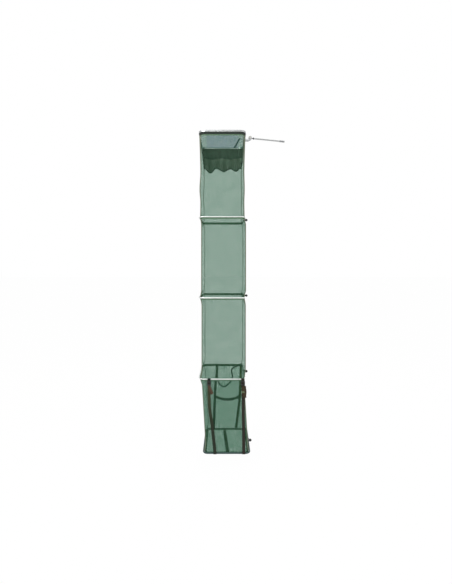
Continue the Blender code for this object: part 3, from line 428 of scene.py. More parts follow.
def hang(obj):
    """Gives a sheet a second set of coordinates that fills the unit square."""
    places = [tuple(entry.vector) for entry in obj.data.uv_layers["cloth"].uv]
    low, high = ([pick(place[axis] for place in places) for axis in (0, 1)] for pick in (min, max))
    layer = obj.data.uv_layers.new(name="OFBake")
    layer.uv.foreach_set("vector", [(place[axis] - low[axis]) / (high[axis] - low[axis])
                                    for place in places for axis in (0, 1)])
    obj.data.uv_layers.active = obj.data.uv_layers["cloth"]


def thicken(obj, thickness):
    solid = obj.modifiers.new("thickness", "SOLIDIFY")
    solid.thickness = thickness
    solid.offset = 0.0
    solid.use_even_offset = True


def modified_mesh(obj):
    """The mesh that an object's modifiers, or its curve, make."""
    bpy.context.view_layer.update()
    graph = bpy.context.evaluated_depsgraph_get()
    return bpy.data.meshes.new_from_object(obj.evaluated_get(graph), depsgraph=graph)


def distances(points, closed=False):
    """How far along a line each point lies, and for a closed line the whole way round."""
    lengths = [0.0]
    for a, b in zip(points, points[1:] + points[:1] if closed else points[1:]):
        lengths.append(lengths[-1] + (b - a).length)
    return lengths


def place_along(path, lengths, goal):
    """The place and the outward direction at a distance along a path of both."""
    at = max(i for i in range(len(path) - 1) if lengths[i] <= goal)
    share = (goal - lengths[at]) / max(1e-9, lengths[at + 1] - lengths[at])
    (place, out), (next_place, next_out) = path[at][:2], path[at + 1][:2]
    return place.lerp(next_place, share), out.lerp(next_out, share).normalized()


def sheet(rows, coords, closed=False, looped=False):
    """Points, faces and corner coordinates of a surface through rows of points.

    A closed surface joins the ends of each row, and a looped one joins its last row to the first."""
    count = len(rows[0])
    faces, uvs = [], []
    for r in range(len(rows) if looped else len(rows) - 1):
        here, there = r * count, (r + 1) % len(rows) * count
        for c in range(count if closed else count - 1):
            d = (c + 1) % count
            faces.append((here + c, here + d, there + d, there + c))
            uvs.append((coords(r, c), coords(r, c + 1), coords(r + 1, c + 1), coords(r + 1, c)))
    return [point for row in rows for point in row], faces, uvs


def tube(rows, stations, marks, looped):
    """A closed surface with flat ends, unless it is looped, and its coordinates along and across."""
    verts, faces, uvs = sheet(rows, lambda r, c: (stations[r], marks[c]), True, looped)
    if not looped:
        count = len(rows[0])
        for r, order in ((0, range(count - 1, -1, -1)), (len(rows) - 1, range(count))):
            faces.append(tuple(r * count + c for c in order))
            uvs.append(tuple((stations[r], marks[c]) for c in order))
    return verts, faces, uvs


def swept(line, section, closed=False, across=None, scale=None, marks=None):
    """A section of (across, up) pairs swept along a line: points, faces and corner coordinates.

    across is its direction, the same everywhere or given for each point, as scale is."""
    rows, turned = [], None
    for i, point in enumerate(line):
        before = line[i - 1] if i or closed else point
        after = line[(i + 1) % len(line)] if i < len(line) - 1 or closed else point
        along = (after - before).normalized()
        if across is not None:
            turned = Vector(across(i) if callable(across) else across)
        elif turned is None:
            turned = along.orthogonal()
        turned = (turned - along * turned.dot(along)).normalized()
        up = along.cross(turned)
        size = scale(i) if scale else 1.0
        rows.append([point + turned * (x * size) + up * (y * size) for x, y in section])
    if marks is None:
        marks = distances([Vector(pair) for pair in section], True)
    return tube(rows, distances(line, closed), marks, closed)


def oval(half_wide, half_tall, sides):
    angles = [2 * math.pi * side / sides for side in range(sides)]
    return [(half_wide * math.cos(angle), half_tall * math.sin(angle)) for angle in angles]


def flat_section(half_wide, rise, edge, crowned=True):
    """The section of a flat strip with chamfered edges; crowned adds a point amid each face."""
    top = [(-half_wide + edge, rise), (half_wide - edge, rise)]
    if crowned:
        top.insert(1, (0.0, rise))
    return [(-half_wide, 0.0), *top, (half_wide, 0.0), *((-x, -y) for x, y in top)]


def strip(line, across, wide, thick):
    """Webbing along a line; its coordinates run along and across it."""
    section = flat_section(wide / 2, thick / 2, thick * 0.45)
    return swept(line, section, across=across, marks=[x for x, _ in section + section[:1]])


def joined(parts):
    """Several shapes as one."""
    verts, faces, uvs = [], [], []
    for part_verts, part_faces, part_uvs in parts:
        start = len(verts)
        verts += part_verts
        faces += [tuple(i + start for i in face) for face in part_faces]
        uvs += part_uvs
    return verts, faces, uvs


def smooth_line(points, spacing):
    """Places about a spacing apart on a smooth curve through the points."""
    fine = []
    ends = [Vector(point) for point in (points[0], *points, points[-1])]
    for a, b, c, d in zip(ends, ends[1:], ends[2:], ends[3:]):
        for step in range(8):
            t = step / 8
            fine.append(((2 * b) + (c - a) * t + (2 * a - 5 * b + 4 * c - d) * t ** 2
                         + (3 * b - a - 3 * c + d) * t ** 3) / 2)
    fine.append(ends[-1])
    length = distances(fine)[-1]
    count = max(2, round(length / spacing))
    route = [fine[0]]
    walked = 0.0
    for a, b in zip(fine, fine[1:]):
        reach = (b - a).length
        while len(route) < count and walked + reach > length * len(route) / count:
            route.append(a.lerp(b, (length * len(route) / count - walked) / reach))
        walked += reach
    return route + [fine[-1]]


def mix(first, second, share):
    return first + (second - first) * share


def steps(first, last, count):
    """Evenly spaced values from the first to the last, in so many steps."""
    return [mix(first, last, step / count) for step in range(count + 1)]


def eased(share):
    """A smooth step from 0 to 1."""
    share = max(0.0, min(1.0, share))
    return share * share * (3 - 2 * share)


def smaller(loop, inset):
    """A rounded rectangle's half sizes and corner radius, all less by an inset."""
    half, turn = loop
    return [size - inset for size in half], turn - inset


def outline(half, turn, corner_steps, side_steps):
    """Points of a rounded rectangle from the +X, +Y corner on: place, outward direction and slack."""
    middles = [Vector((x * (half[0] - turn), y * (half[1] - turn))) for x, y in CORNERS]
    result = []
    for corner, here in enumerate(middles):
        there = middles[(corner + 1) % 4]
        for step in range(corner_steps + 1):
            angle = math.pi / 2 * (corner + step / corner_steps)
            out = Vector((math.cos(angle), math.sin(angle)))
            result.append((here + out * turn, out, 0.0))
        for step in range(1, side_steps):
            share = step / side_steps
            result.append((here.lerp(there, share) + out * turn, out, math.sin(math.pi * share)))
    return result


def open_outline(half, turn, corner_steps, side_steps, gap=JOINER_GAP):
    """Points of a ring that starts and ends beside its joiner, amid the +X side."""
    ring = outline(half, turn, corner_steps, side_steps)
    last_side = ring[1 - side_steps:]
    clear = gap / 2 + 0.002
    first, last = ((Vector((half[0], side * gap / 2)), Vector((1.0, 0.0)), 0.0) for side in (1, -1))
    upper, lower = ([entry for entry in last_side if side * entry[0].y > clear] for side in (1, -1))
    return [first, *upper, *ring[:1 - side_steps], *lower, last]


def hoop(ring, section, height, x, closed, ripple=None, marks=None):
    """An (outwards, up) section carried round a ring: points, faces and corner coordinates."""
    around = distances([place for place, _, _ in ring], closed)
    rows = []
    for (place, out, _), far in zip(ring, around):
        spots = ((place + out * outwards, ripple(far, up) if ripple else up) for outwards, up in section)
        rows.append([Vector((spot.x + x, spot.y, height + lift)) for spot, lift in spots])
    if marks is None:
        marks = [up for _, up in section + section[:1]]
    return tube(rows, around, marks, closed)


# Where each section of netting hangs. top and tape_top say how far below the upper ring the netting
# and its tapes start, and pitch how far apart the two rings are when folded. hang says how far the
# sides bulge and drift to the right, and over which drops that comes in and goes out again.
Section = namedtuple("Section", "number body height length upper top tape_top lean joint pitch hang")
NET_LOOP = smaller(RING_LOOP, NET_INSET)
TAPE_START = TAPE_BELOW + GAP
HEM_START = GAP - HEM_BOTTOM
SECTIONS = (
    Section(1, "head", MOUTH_Z, TOP_SECTION, MOUTH_LOOP, HEM_START, HEM_START, 0.0, "ring_2_slide", 0.038,
            (0.0020, -0.0020, 0.30, 0.15, 0.11, 0.10)),
    Section(2, "ring_2", RING_2_Z, SECOND_SECTION, NET_LOOP, GAP / 2, TAPE_START, 0.0, "ring_3_slide",
            0.022, (0.0015, 0.0095, 0.0125, 0.035, 0.0125, 0.035)),
    Section(3, "ring_3", RING_3_Z, THIRD_SECTION, NET_LOOP, GAP / 2, TAPE_START, 0.0, "ring_4_slide",
            0.022, (-0.0010, 0.0100, 0.0125, 0.035, 0.0125, 0.035)),
    Section(4, "ring_4", RING_4_Z, LOW_SECTION, NET_LOOP, GAP / 2, TAPE_START, BASE_SHIFT, "base_slide",
            0.022, (-0.0075, 0.0040, 0.0125, 0.045, 0.0125, 0.060)),
)
CORNER_STEPS, SIDE_STEPS, WALL_ROWS = 6, 46, 44
# Which shares of each corner's quarter turn its tape covers
TAPE_SPANS = ((0.44, 0.56), (0.44, 0.56), (0.10, 0.52), (0.48, 0.90))


def wall_loop(part, drop):
    """Size, corner and shift to the right of a section's wall at one drop below its upper ring."""
    bottom = part.length - GAP / 2
    share = (drop - part.top) / (bottom - part.top)
    draw = 4 * NET_DRAW_IN * share * (1 - share)
    taper = 1 - (1 - share) ** 2 if part.number == 1 else share
    half = [mix(part.upper[0][axis], NET_LOOP[0][axis], taper) - draw for axis in (0, 1)]
    fullness, drift, start, rise, end, fall = part.hang
    away = eased((drop - start) / rise) * eased((part.length - end - drop) / fall)
    half[0] += (fullness + draw) * away
    turn = mix(part.upper[1], NET_LOOP[1], taper) - draw
    return half, turn, part.lean * drop / part.length + drift * away


def slackness(part, around, drop):
    """How far a wall falls inwards: pleats below and above the rings and soft billows between."""
    from_top = max(0.0, drop - part.top - BAND_TALL)
    from_bottom = max(0.0, part.length - drop - TAPE_ABOVE)
    gathered = (math.exp(-from_top / 0.055) * min(1.0, from_top / 0.012)
                + math.exp(-from_bottom / 0.040) * min(1.0, from_bottom / 0.012))
    uneven = 1.3 * math.sin(9 * around + part.number)
    pleats = 0.5 + 0.5 * math.sin(2 * math.pi * around / 0.021 + uneven)
    share = (drop - part.top) / (part.length - part.top)
    billow = 0.5 + 0.5 * math.sin(11 * around + 2.1 * part.number + 4.5 * share)
    drag = 0.5 + 0.5 * math.sin(34 * around - 7 * share + part.number)
    clear = min(1.0, share / 0.5) if part.number == 1 else 1.0
    falls = math.sin(math.pi * share) * clear ** 2 * (0.0045 * billow + 0.0012 * drag)
    return (0.0008 + 0.0022 * clear) * pleats * gathered + falls


def make_wall(part):
    """One section's netting, hung from its upper ring to the next."""
    bottom = part.length - GAP / 2
    drops = [mix(part.top, bottom, 0.5 - 0.5 * math.cos(math.pi * row / WALL_ROWS))
             for row in range(WALL_ROWS + 1)]
    rows, arounds = [], []
    for drop in drops:
        half, turn, lean = wall_loop(part, drop)
        ring = outline(half, turn, CORNER_STEPS, SIDE_STEPS)
        arounds.append(distances([place for place, _, _ in ring], True))
        row = []
        for (place, out, slack), far in zip(ring, arounds[-1]):
            moved = place - out * slackness(part, far, drop) * min(1.0, 2.2 * slack)
            row.append(Vector((NET_X + moved.x + lean, moved.y, part.height - drop)))
        rows.append(row)
    whole = arounds[0]
    shape = sheet(rows, lambda r, c: (whole[c], -drops[r]), True)
    net = piece(f"netting_{part.number}", shape, LOW_NET if part.number == 4 else NET, part.body,
                "green_netting", f"net_section_{part.number}")
    hang(net)
    fold(net, part.joint)


def make_seams(part):
    """A section's four corner tapes, and the tape along its top."""
    foot = part.length - TAPE_ABOVE - GAP - (SLEEVE_OUTER if part.lean else 0.0)
    drops = steps(part.tape_top, foot, 26)
    wide_steps = 8
    tapes = []
    for corner, span in enumerate(TAPE_SPANS):
        angles = [math.pi / 2 * (corner + share) for share in steps(*span, wide_steps)]
        rows = []
        for drop in drops:
            half, turn, lean = wall_loop(part, drop)
            reach = turn + CORNER_TAPE_OUT + CORNER_TAPE_LIFT
            x, y = (sign * (size - turn) for sign, size in zip(CORNERS[corner], half))
            rows.append([Vector((NET_X + lean + x + reach * math.cos(angle), y + reach * math.sin(angle),
                                 part.height - drop)) for angle in angles])
        half_wide = reach * (angles[-1] - angles[0]) / 2
        places = steps(-half_wide, half_wide, wide_steps)
        tapes.append(sheet(rows, lambda r, c: (-drops[r], places[c])))
    rows = []
    band = steps(part.tape_top, part.tape_top + BAND_TALL, 2)
    for drop in band:
        half, turn, lean = wall_loop(part, drop)
        rows.append([Vector((NET_X + place.x + out.x * CORNER_TAPE_OUT + lean,
                             place.y + out.y * CORNER_TAPE_OUT, part.height - drop))
                     for place, out, _ in outline(half, turn, CORNER_STEPS, 8)])
    around = distances(rows[0], True)
    top = sheet(rows, lambda r, c: (around[c], band[r] - band[1]), True)
    corner_cloth = TOP_SEAM_TAPE if part.number == 1 else SEAM_TAPE
    for name, shape, cloth in (("corner_tapes", joined(tapes[:2]), corner_cloth),
                               ("edge_tapes", joined(tapes[2:]), EDGE_TAPE), ("top_tape", top, TAPE)):
        tape = piece(f"{name}_{part.number}", shape, cloth, part.body, "dark_green_tape",
                     f"seam_tapes_{part.number}")
        thicken(tape, CORNER_TAPE_THICK)
        solid = modified_mesh(tape)
        tape.modifiers.clear()
        tape.data = solid
        fold(tape, part.joint)


def band_section(low, high, thick):
    """The section of a flat tape that stands on edge: its edges rounded, its faces divided."""
    half = thick / 2
    edge = min(half, (high - low) / 4)
    heights = [low + edge, mix(low, high, 0.35), mix(low, high, 0.65), high - edge]
    return [(0.0, low), *((half, z) for z in heights), (0.0, high), *((-half, z) for z in reversed(heights))]


# How much longer than the joiner the stretch without lacing is
LACING_GAP = 0.020


def make_lacing(part, inside, count):
    """Thread loops that bind a tape to its ring, all round it."""
    ring = open_outline(*RING_LOOP, 10, 12, JOINER_GAP + LACING_GAP)
    around = distances([place for place, _, _ in ring])
    reach = TUBE_RADIUS + 0.0007
    loop = [(reach * math.cos(angle), reach * math.sin(angle))
            for angle in steps(-math.pi / 2, math.pi / 2, 8)]
    loop += [(-inside, reach * 0.9), (-inside - 0.0004, 0.0), (-inside, -reach * 0.9)]
    parts = []
    for turn in range(count):
        place, out = place_along(ring, around, around[-1] * (turn + 0.5) / count)
        along = Vector((-out.y, out.x))
        line = []
        for index, (outwards, up) in enumerate(loop):
            spot = place + out * outwards + along * (0.0012 * math.sin(2 * math.pi * index / len(loop)))
            line.append(Vector((spot.x + NET_X, spot.y, part.height + up)))
        parts.append(swept(line, oval(0.00045, 0.00045, 5), closed=True))
    piece(f"lacing_{part.body}", joined(parts), THREAD, part.body, "dark_green_tape")


def make_ring_dressing(part):
    """A wall ring's tape and its lacing."""
    ring = open_outline(*smaller(RING_LOOP, TAPE_INSET), 8, 30)

    def ripple(far, up):
        return up + 0.0005 * math.sin(2 * math.pi * far / 0.048 + part.number) * max(0.0, -up / TAPE_BELOW)

    section = band_section(-TAPE_BELOW, TAPE_ABOVE, TAPE_THICK)
    piece(f"tape_{part.body}", hoop(ring, section, part.height, NET_X, False, ripple), TAPE, part.body,
          "dark_green_tape", f"{part.body}_tape", 60)
    make_lacing(part, TAPE_INSET + TAPE_THICK / 2 + 0.0007, 30)


def make_hem():
    """The webbing hem that hangs in the mouth channel's groove."""
    section = band_section(HEM_BOTTOM, CHANNEL_HEIGHT / 2 - CHANNEL_WALL - GAP, HEM_THICK)
    piece("hem", hoop(outline(*MOUTH_LOOP, 12, 30), section, MOUTH_Z, NET_X, True), HEM, "head",
          "black_webbing", "mouth_hem", 60)


SKIRT_FOLDS, FOLD_POINTS = 13, 14
# How far back the ruffle's far side starts, and the lowest places of its edge: across, how deep, how wide
FAR_SIDE = 0.12
SKIRT_LOWS = ((-0.110, 0.040, 0.026), (0.012, 0.027, 0.028), (0.113, 0.020, 0.026))


def skirt_row(drop, depth, jitter):
    """One level of the escape skirt: a gathered line round the far side and half of both ends."""
    inset = HEM_THICK / 2 + GAP + 0.0004 + 0.009 * (drop - SKIRT_TOP) / (SKIRT_HEM - SKIRT_TOP)
    half, turn = smaller(MOUTH_LOOP, inset)
    far = [(place, out) for place, out, _ in outline(half, turn, 10, 40) if place.y > 0]
    far.sort(key=lambda entry: math.atan2(entry[0].y, entry[0].x))
    first, last = ((Vector((side * half[0], 0.0)), Vector((side, 0.0))) for side in (1.0, -1.0))
    path = [first, *far, last]
    lengths = distances([place for place, _ in path])
    count = SKIRT_FOLDS * FOLD_POINTS
    row = []
    for step in range(count + 1):
        share = step / count
        share += jitter * 0.012 * math.sin(2 * math.pi * (share * 5.3 + 0.17)) * math.sin(math.pi * share)
        place, out = place_along(path, lengths, lengths[-1] * min(max(share, 0.0), 1.0))
        wave = (1 - math.cos(2 * math.pi * share * SKIRT_FOLDS)) / 2
        uneven = 0.78 + 0.22 * math.sin(2 * math.pi * share * 3.7 + 1.1)
        small = 0.10 * (1 - math.cos(2 * math.pi * share * 41 + 0.6))
        row.append((place - out * 0.015 * depth * (wave * uneven + small * (1 - wave) * 0.5),
                    lengths[-1] * step / count))
    return row


def make_tier(name, first, last, depths, levels, uneven, cover, node):
    """One tier of the skirt, between two drops; an uneven tier has a scalloped lower edge."""
    rows = []
    drops = steps(first, last, levels)
    for level, drop in enumerate(drops):
        share = level / levels
        row = skirt_row(drop, mix(*depths, share ** 0.8), share if uneven else 0.0)
        reaches = [far for _, far in row]
        points = []
        for place, far in row:
            along = far / reaches[-1]
            seam = 0.0055 * math.sin(2 * math.pi * far / 0.156 + 2.6) - 0.004 * max(0.0, along - 0.7)
            if uneven:
                scallop = 0.0030 * math.sin(far * 91) - 0.006
                if place.y > FAR_SIDE:
                    scallop += sum(deep * math.exp(-((place.x - x) / wide) ** 2)
                                   for x, deep, wide in SKIRT_LOWS)
                else:
                    scallop += 0.008 * math.sin(2 * math.pi * far / 0.118)
                rise = (0.075 * max(0.0, (along - 0.74) / 0.26) ** 1.3
                        + 0.012 * max(0.0, (0.16 - along) / 0.16))
                lower = seam * (1 - share) + (scallop - rise) * share ** 1.3
            else:
                lower = seam * share
            points.append(Vector((NET_X + place.x, place.y, MOUTH_Z - drop - lower)))
        rows.append(points)
    cloth = piece(name, sheet(rows, lambda r, c: (reaches[c] * 1.3, -drops[r])), cover, "head",
                  "dark_green_cloth", node)
    area = sum(face.area for face in cloth.data.polygons)
    hang(cloth)
    return cloth, rows[-1]


def make_skirt():
    """The two gathered tiers of the escape skirt, their seam and their hem."""
    band, band_edge = make_tier("escape_band", SKIRT_TOP, SKIRT_SEAM - GAP / 2, (0.05, 0.30), 8, False, BAND,
                                "skirt_band")
    ruffle, ruffle_edge = make_tier("escape_ruffle", SKIRT_SEAM + GAP / 2, SKIRT_HEM, (0.30, 1.0), 14, True,
                                    RUFFLE, "skirt_ruffle")
    cloths = [band, ruffle]
    for name, edge, wide, lift in (("escape_seam", band_edge, 0.013, 0.0),
                                   ("escape_hem", ruffle_edge, 0.012, 0.003)):
        line = [point + Vector((0.0, 0.0, lift)) for point in edge]
        cloths.append(piece(name, strip(line, UP, wide, 0.0016), SKIRT_TAPE, "head", "dark_green_cloth",
                            creases=50))
    for cloth in cloths:
        fold(cloth, "ring_2_slide")


def make_guard():
    """The fine bluish panel on the near side and round its corners, with a slanting bound seam."""
    levels, corner_steps, side_steps = 14, 10, 40
    drops = steps(GUARD_TOP, GUARD_BOTTOM, levels)
    start = 2 * (corner_steps + side_steps)
    end = start + side_steps + 2 * corner_steps + 1
    rows = []
    for level, drop in enumerate(drops):
        share = level / levels
        inset = HEM_THICK / 2 + GAP + 0.0003 + 0.006 * share
        ring = outline(*smaller(MOUTH_LOOP, inset), corner_steps, side_steps)
        row = []
        for place, out, slack in ring[start:end]:
            wave = 0.5 + 0.5 * math.sin(80 * place.x + 4.0 * share)
            moved = place - out * 0.0020 * wave * share
            row.append(Vector((NET_X + moved.x, moved.y, MOUTH_Z - drop - 0.003 * share * slack)))
        rows.append(row)
    lengths = distances(rows[0])
    panel = piece("guard_panel", sheet(rows, lambda r, c: (lengths[c] - lengths[-1] / 2, -drops[r])), GUARD,
                  "head", "pale_blue_mesh", "front_guard")
    hang(panel)
    slant = []
    for level in range(4, levels + 1):
        x = NET_X + mix(0.153, 0.094, level / levels)
        nearest = min(rows[level], key=lambda point: abs(point.x - x))
        slant.append(Vector((x, nearest.y - 0.0009, nearest.z)))
    seam = piece("guard_seam", strip(slant, RIGHT, 0.012, 0.0008), SLANT, "head", "pale_blue_mesh",
                 creases=50)
    lower = piece("guard_binding", strip(rows[-1], UP, 0.005, 0.0012), PALE, "head", "pale_blue_mesh",
                  creases=50)
    for cloth in (panel, seam, lower):
        fold(cloth, "ring_2_slide")


def make_sleeve():
    """The base ring's sewn sleeve, open along its inner side."""
    ring = open_outline(*RING_LOOP, 10, 60)
    around = distances([place for place, _, _ in ring])
    turns, opening = 22, math.radians(35)
    rows = []
    for angle in steps(opening, 2 * math.pi - opening, turns):
        row = []
        for (place, out, _), far in zip(ring, around):
            crease = 0.5 + 0.5 * math.sin(2 * math.pi * far / 0.017 + 2.0 * math.sin(angle * 2 + far * 9))
            radius = SLEEVE_RADIUS + 0.0006 * crease * (0.4 + 0.6 * math.sin(angle / 2) ** 2)
            spot = place - out * radius * math.cos(angle)
            row.append(Vector((BASE_X + spot.x, spot.y, BASE_Z + radius * math.sin(angle))))
        rows.append(row)
    sleeve = piece("sleeve", sheet(rows, lambda r, c: (around[c], SLEEVE_RADIUS * 4.9 * r / turns)), SLATE,
                   "base", "slate_sleeve", "base_sleeve")
    thicken(sleeve, SLEEVE_THICK)


def make_floor_of_net():
    """The floor's binding, its netting, a little lifted amid, and the strap below it."""
    inset = NET_INSET - NET_THICK / 2
    half, turn = smaller(RING_LOOP, inset + BINDING_WIDE / 2)
    ring = outline(half, max(0.004, turn), 8, 24)
    section = flat_section(BINDING_WIDE / 2, BINDING_THICK / 2, 0.0005)
    shape = hoop(ring, section, BASE_Z - GAP - BINDING_THICK / 2, BASE_X, True,
                 marks=[x for x, _ in section + section[:1]])
    piece("floor_tape", shape, TAPE, "base", "dark_green_tape", "floor_binding", 50)

    half, _ = smaller(RING_LOOP, inset + BINDING_WIDE - BINDING_LAP)
    grid = []
    for y in steps(-1, 1, 42):
        row = []
        for x in steps(-1, 1, 36):
            free = (1 - x ** 4) * (1 - y ** 4)
            lift = free * (0.0010 + 0.0012 * math.sin(7 * x + 3 * y) * math.cos(5 * y - 2 * x))
            row.append(Vector((BASE_X + x * half[0], y * half[1], BASE_Z + 0.0006 + max(0.0, lift))))
        grid.append(row)
    floor = piece("floor_netting", sheet(grid, lambda r, c: (grid[r][c].x, grid[r][c].y)), FLOOR_NET, "base",
                  "green_netting", "floor_net")
    hang(floor)

    under = BASE_Z - GAP - BINDING_THICK - GAP - STRAP_THICK / 2
    end = RING_HALF[1] - inset
    line = [Vector((BASE_X + mix(-0.095, 0.05, share) * RING_WIDTH / 2, mix(end, -end, share),
                    under - 0.0012 * math.sin(math.pi * share))) for share in steps(0, 1, 24)]
    piece("floor_webbing", strip(line, RIGHT, 0.027, STRAP_THICK), MOSS, "base", "olive_webbing",
          "floor_strap", 50)


# Straps: how far across they are at shares of the way down, in half ring widths from the middle
Strap = namedtuple("Strap", "course side wide slot cloth end_cloth")
STRAPS = {
    "near_left": Strap(((0.0, -0.56), (0.2, -0.565), (0.42, -0.53), (0.6, -0.435), (0.8, -0.37),
                        (1.0, -0.30)), -1, 0.024, "brown_webbing", BROWN, LOOP_BLACK),
    "near_right": Strap(((0.0, 0.86), (0.2, 0.88), (0.42, 0.88), (0.7, 0.895), (1.0, 0.90)),
                        -1, 0.024, "brown_webbing", DARK_BROWN, DARK_BROWN),
    "far_left": Strap(((0.0, -0.27), (0.12, -0.275), (0.3, -0.35), (0.55, -0.385), (0.8, -0.41),
                       (1.0, -0.44)), 1, 0.022, "olive_webbing", DARK_GREEN, DARK_GREEN),
    "far_right": Strap(((0.0, 0.88), (0.1, 0.88), (0.22, 0.865), (0.4, 0.845), (0.56, 0.82), (0.71, 0.76),
                        (0.93, 0.68), (1.0, 0.634)), 1, 0.022, "olive_webbing", OLIVE, OLIVE),
}


def strap_x(name, drop):
    """Where a strap's middle is across, at a drop below the fourth ring."""
    course = STRAPS[name].course
    down = drop / LOW_SECTION
    for (top, first), (bottom, second) in zip(course, course[1:]):
        if down <= bottom:
            return NET_X + mix(first, second, (down - top) / (bottom - top)) * RING_WIDTH / 2
    return NET_X + course[-1][1] * RING_WIDTH / 2


def make_strap(name):
    """A webbing strap: its loop over the fourth ring, its run down the net and its loop under the base."""
    strap = STRAPS[name]
    wrap = TUBE_RADIUS + GAP + STRAP_THICK / 2
    loop = [Vector((strap_x(name, 0.0), strap.side * (RING_HALF[1] + wrap * math.cos(angle)),
                    RING_4_Z + wrap * math.sin(angle))) for angle in steps(math.radians(120), 0.0, 12)]
    loop.append(Vector((strap_x(name, STRAP_SETTLE), strap.side * STRAP_Y, RING_4_Z - STRAP_SETTLE)))
    drops = steps(STRAP_SETTLE, LOW_SECTION - 0.001, 48)
    places = [strap_x(name, drop) for drop in drops]
    run = []
    for i, drop in enumerate(drops):
        near = places[max(0, i - 2):i + 3]
        sway = 0.0 if drop in (drops[0], drops[-1]) else 0.0004 * math.sin(i * 0.9)
        run.append(Vector((sum(near) / len(near), strap.side * (STRAP_Y + sway), RING_4_Z - drop)))
    under = SLEEVE_OUTER + 0.0007 + STRAP_THICK / 2
    foot = []
    for step, angle in enumerate(steps(0.0, math.radians(-115), 10)):
        reach = mix(STRAP_Y - RING_HALF[1], under, min(1.0, step / 4))
        foot.append(Vector((run[-1].x, strap.side * (RING_HALF[1] + reach * math.cos(angle)),
                            BASE_Z - 0.0003 + under * math.sin(angle))))
    for kind, line, cloth, body, node in (("loop", loop, strap.end_cloth, "ring_4", None),
                                          ("strap_run", run, strap.cloth, "ring_4", f"strap_{name}"),
                                          ("foot", foot, strap.end_cloth, "base", None)):
        part = piece(f"{kind}_{name}", strip(line, RIGHT, strap.wide, STRAP_THICK), cloth, body, strap.slot,
                     node, 50)
        if kind == "strap_run":
            fold(part, "base_slide")


def make_plate(name, frame_size, slots, thick, bevel, place, node):
    """A flat moulded part with slots, each (width, height, corner, height of its middle)."""
    curve = bpy.data.curves.new(name, "CURVE")
    curve.dimensions = "2D"
    curve.fill_mode = "BOTH"
    curve.extrude = thick / 2 - bevel
    curve.bevel_depth = bevel
    curve.bevel_resolution = 3
    for wide, tall, turn, z, inwards in [(*frame_size, 0.0, bevel)] + [(*slot, -bevel) for slot in slots]:
        points = [(spot.x, spot.y + z) for spot, _, _ in
                  outline((wide / 2 - inwards, tall / 2 - inwards), turn, 6, 2)]
        spline = curve.splines.new("POLY")
        spline.points.add(len(points) - 1)
        for knot, spot in zip(spline.points, points):
            knot.co = (*spot, 0.0, 1.0)
        spline.use_cyclic_u = True
    maker = bpy.data.objects.new(name, curve)
    dressing.objects.link(maker)
    maker.matrix_world = Matrix.Translation(place) @ Matrix.Rotation(math.pi / 2, 4, "X")
    mesh = modified_mesh(maker)
    mesh.transform(maker.matrix_world)
    bpy.data.objects.remove(maker)
    dress(name, mesh, BLACK, "ring_4", "black_plastic", node, 40)


def make_buckle(side):
    """A ladder-lock adjuster: slotted frame, cross bar and ribbed lip, with webbing threaded through."""
    middle = strap_x(f"near_{side}", 0.027)
    centre = Vector((middle, -STRAP_FACE - 0.0038, RING_4_Z - BUCKLE_DROP - BUCKLE_TALL / 2))
    slots = ((0.0255, 0.0065, 0.0015, 0.0080), (0.0255, 0.0080, 0.0015, -0.0050))
    make_plate(f"lock_{side}", (BUCKLE_WIDE, BUCKLE_TALL, 0.004), slots, 0.0050, 0.0006, centre,
               f"buckle_{side}")
    bar = [centre + Vector((x, y, 0.0022))
           for x, y in ((-0.0128, -0.0030), (0.0, -0.0032), (0.0128, -0.0030))]
    ribs = [swept(bar, oval(0.0012, 0.0012, 10))]
    for rib in range(4):
        line = [centre + Vector((x, -0.0026 - 0.0003 * rib, -0.0118 - 0.0014 * rib))
                for x in (-0.0115, 0.0, 0.0115)]
        ribs.append(swept(line, oval(0.0006, 0.0006, 8)))
    piece(f"lock_ribs_{side}", joined(ribs), BLACK, "ring_4", "black_plastic")
    thread = ((0.0012, 0.0155), (0.0024, 0.0105), (0.0072, 0.0078), (0.0088, 0.0040), (0.0088, 0.0004),
              (0.0070, -0.0034), (0.0030, -0.0060), (0.0012, -0.0110))
    line = smooth_line([(middle, -STRAP_FACE - out, centre.z + z) for out, z in thread], 0.0015)
    piece(f"lock_webbing_{side}", strip(line, RIGHT, LOOSE_WIDE, LOOSE_THICK), DARK_BROWN, "ring_4",
          "brown_webbing", creases=50)


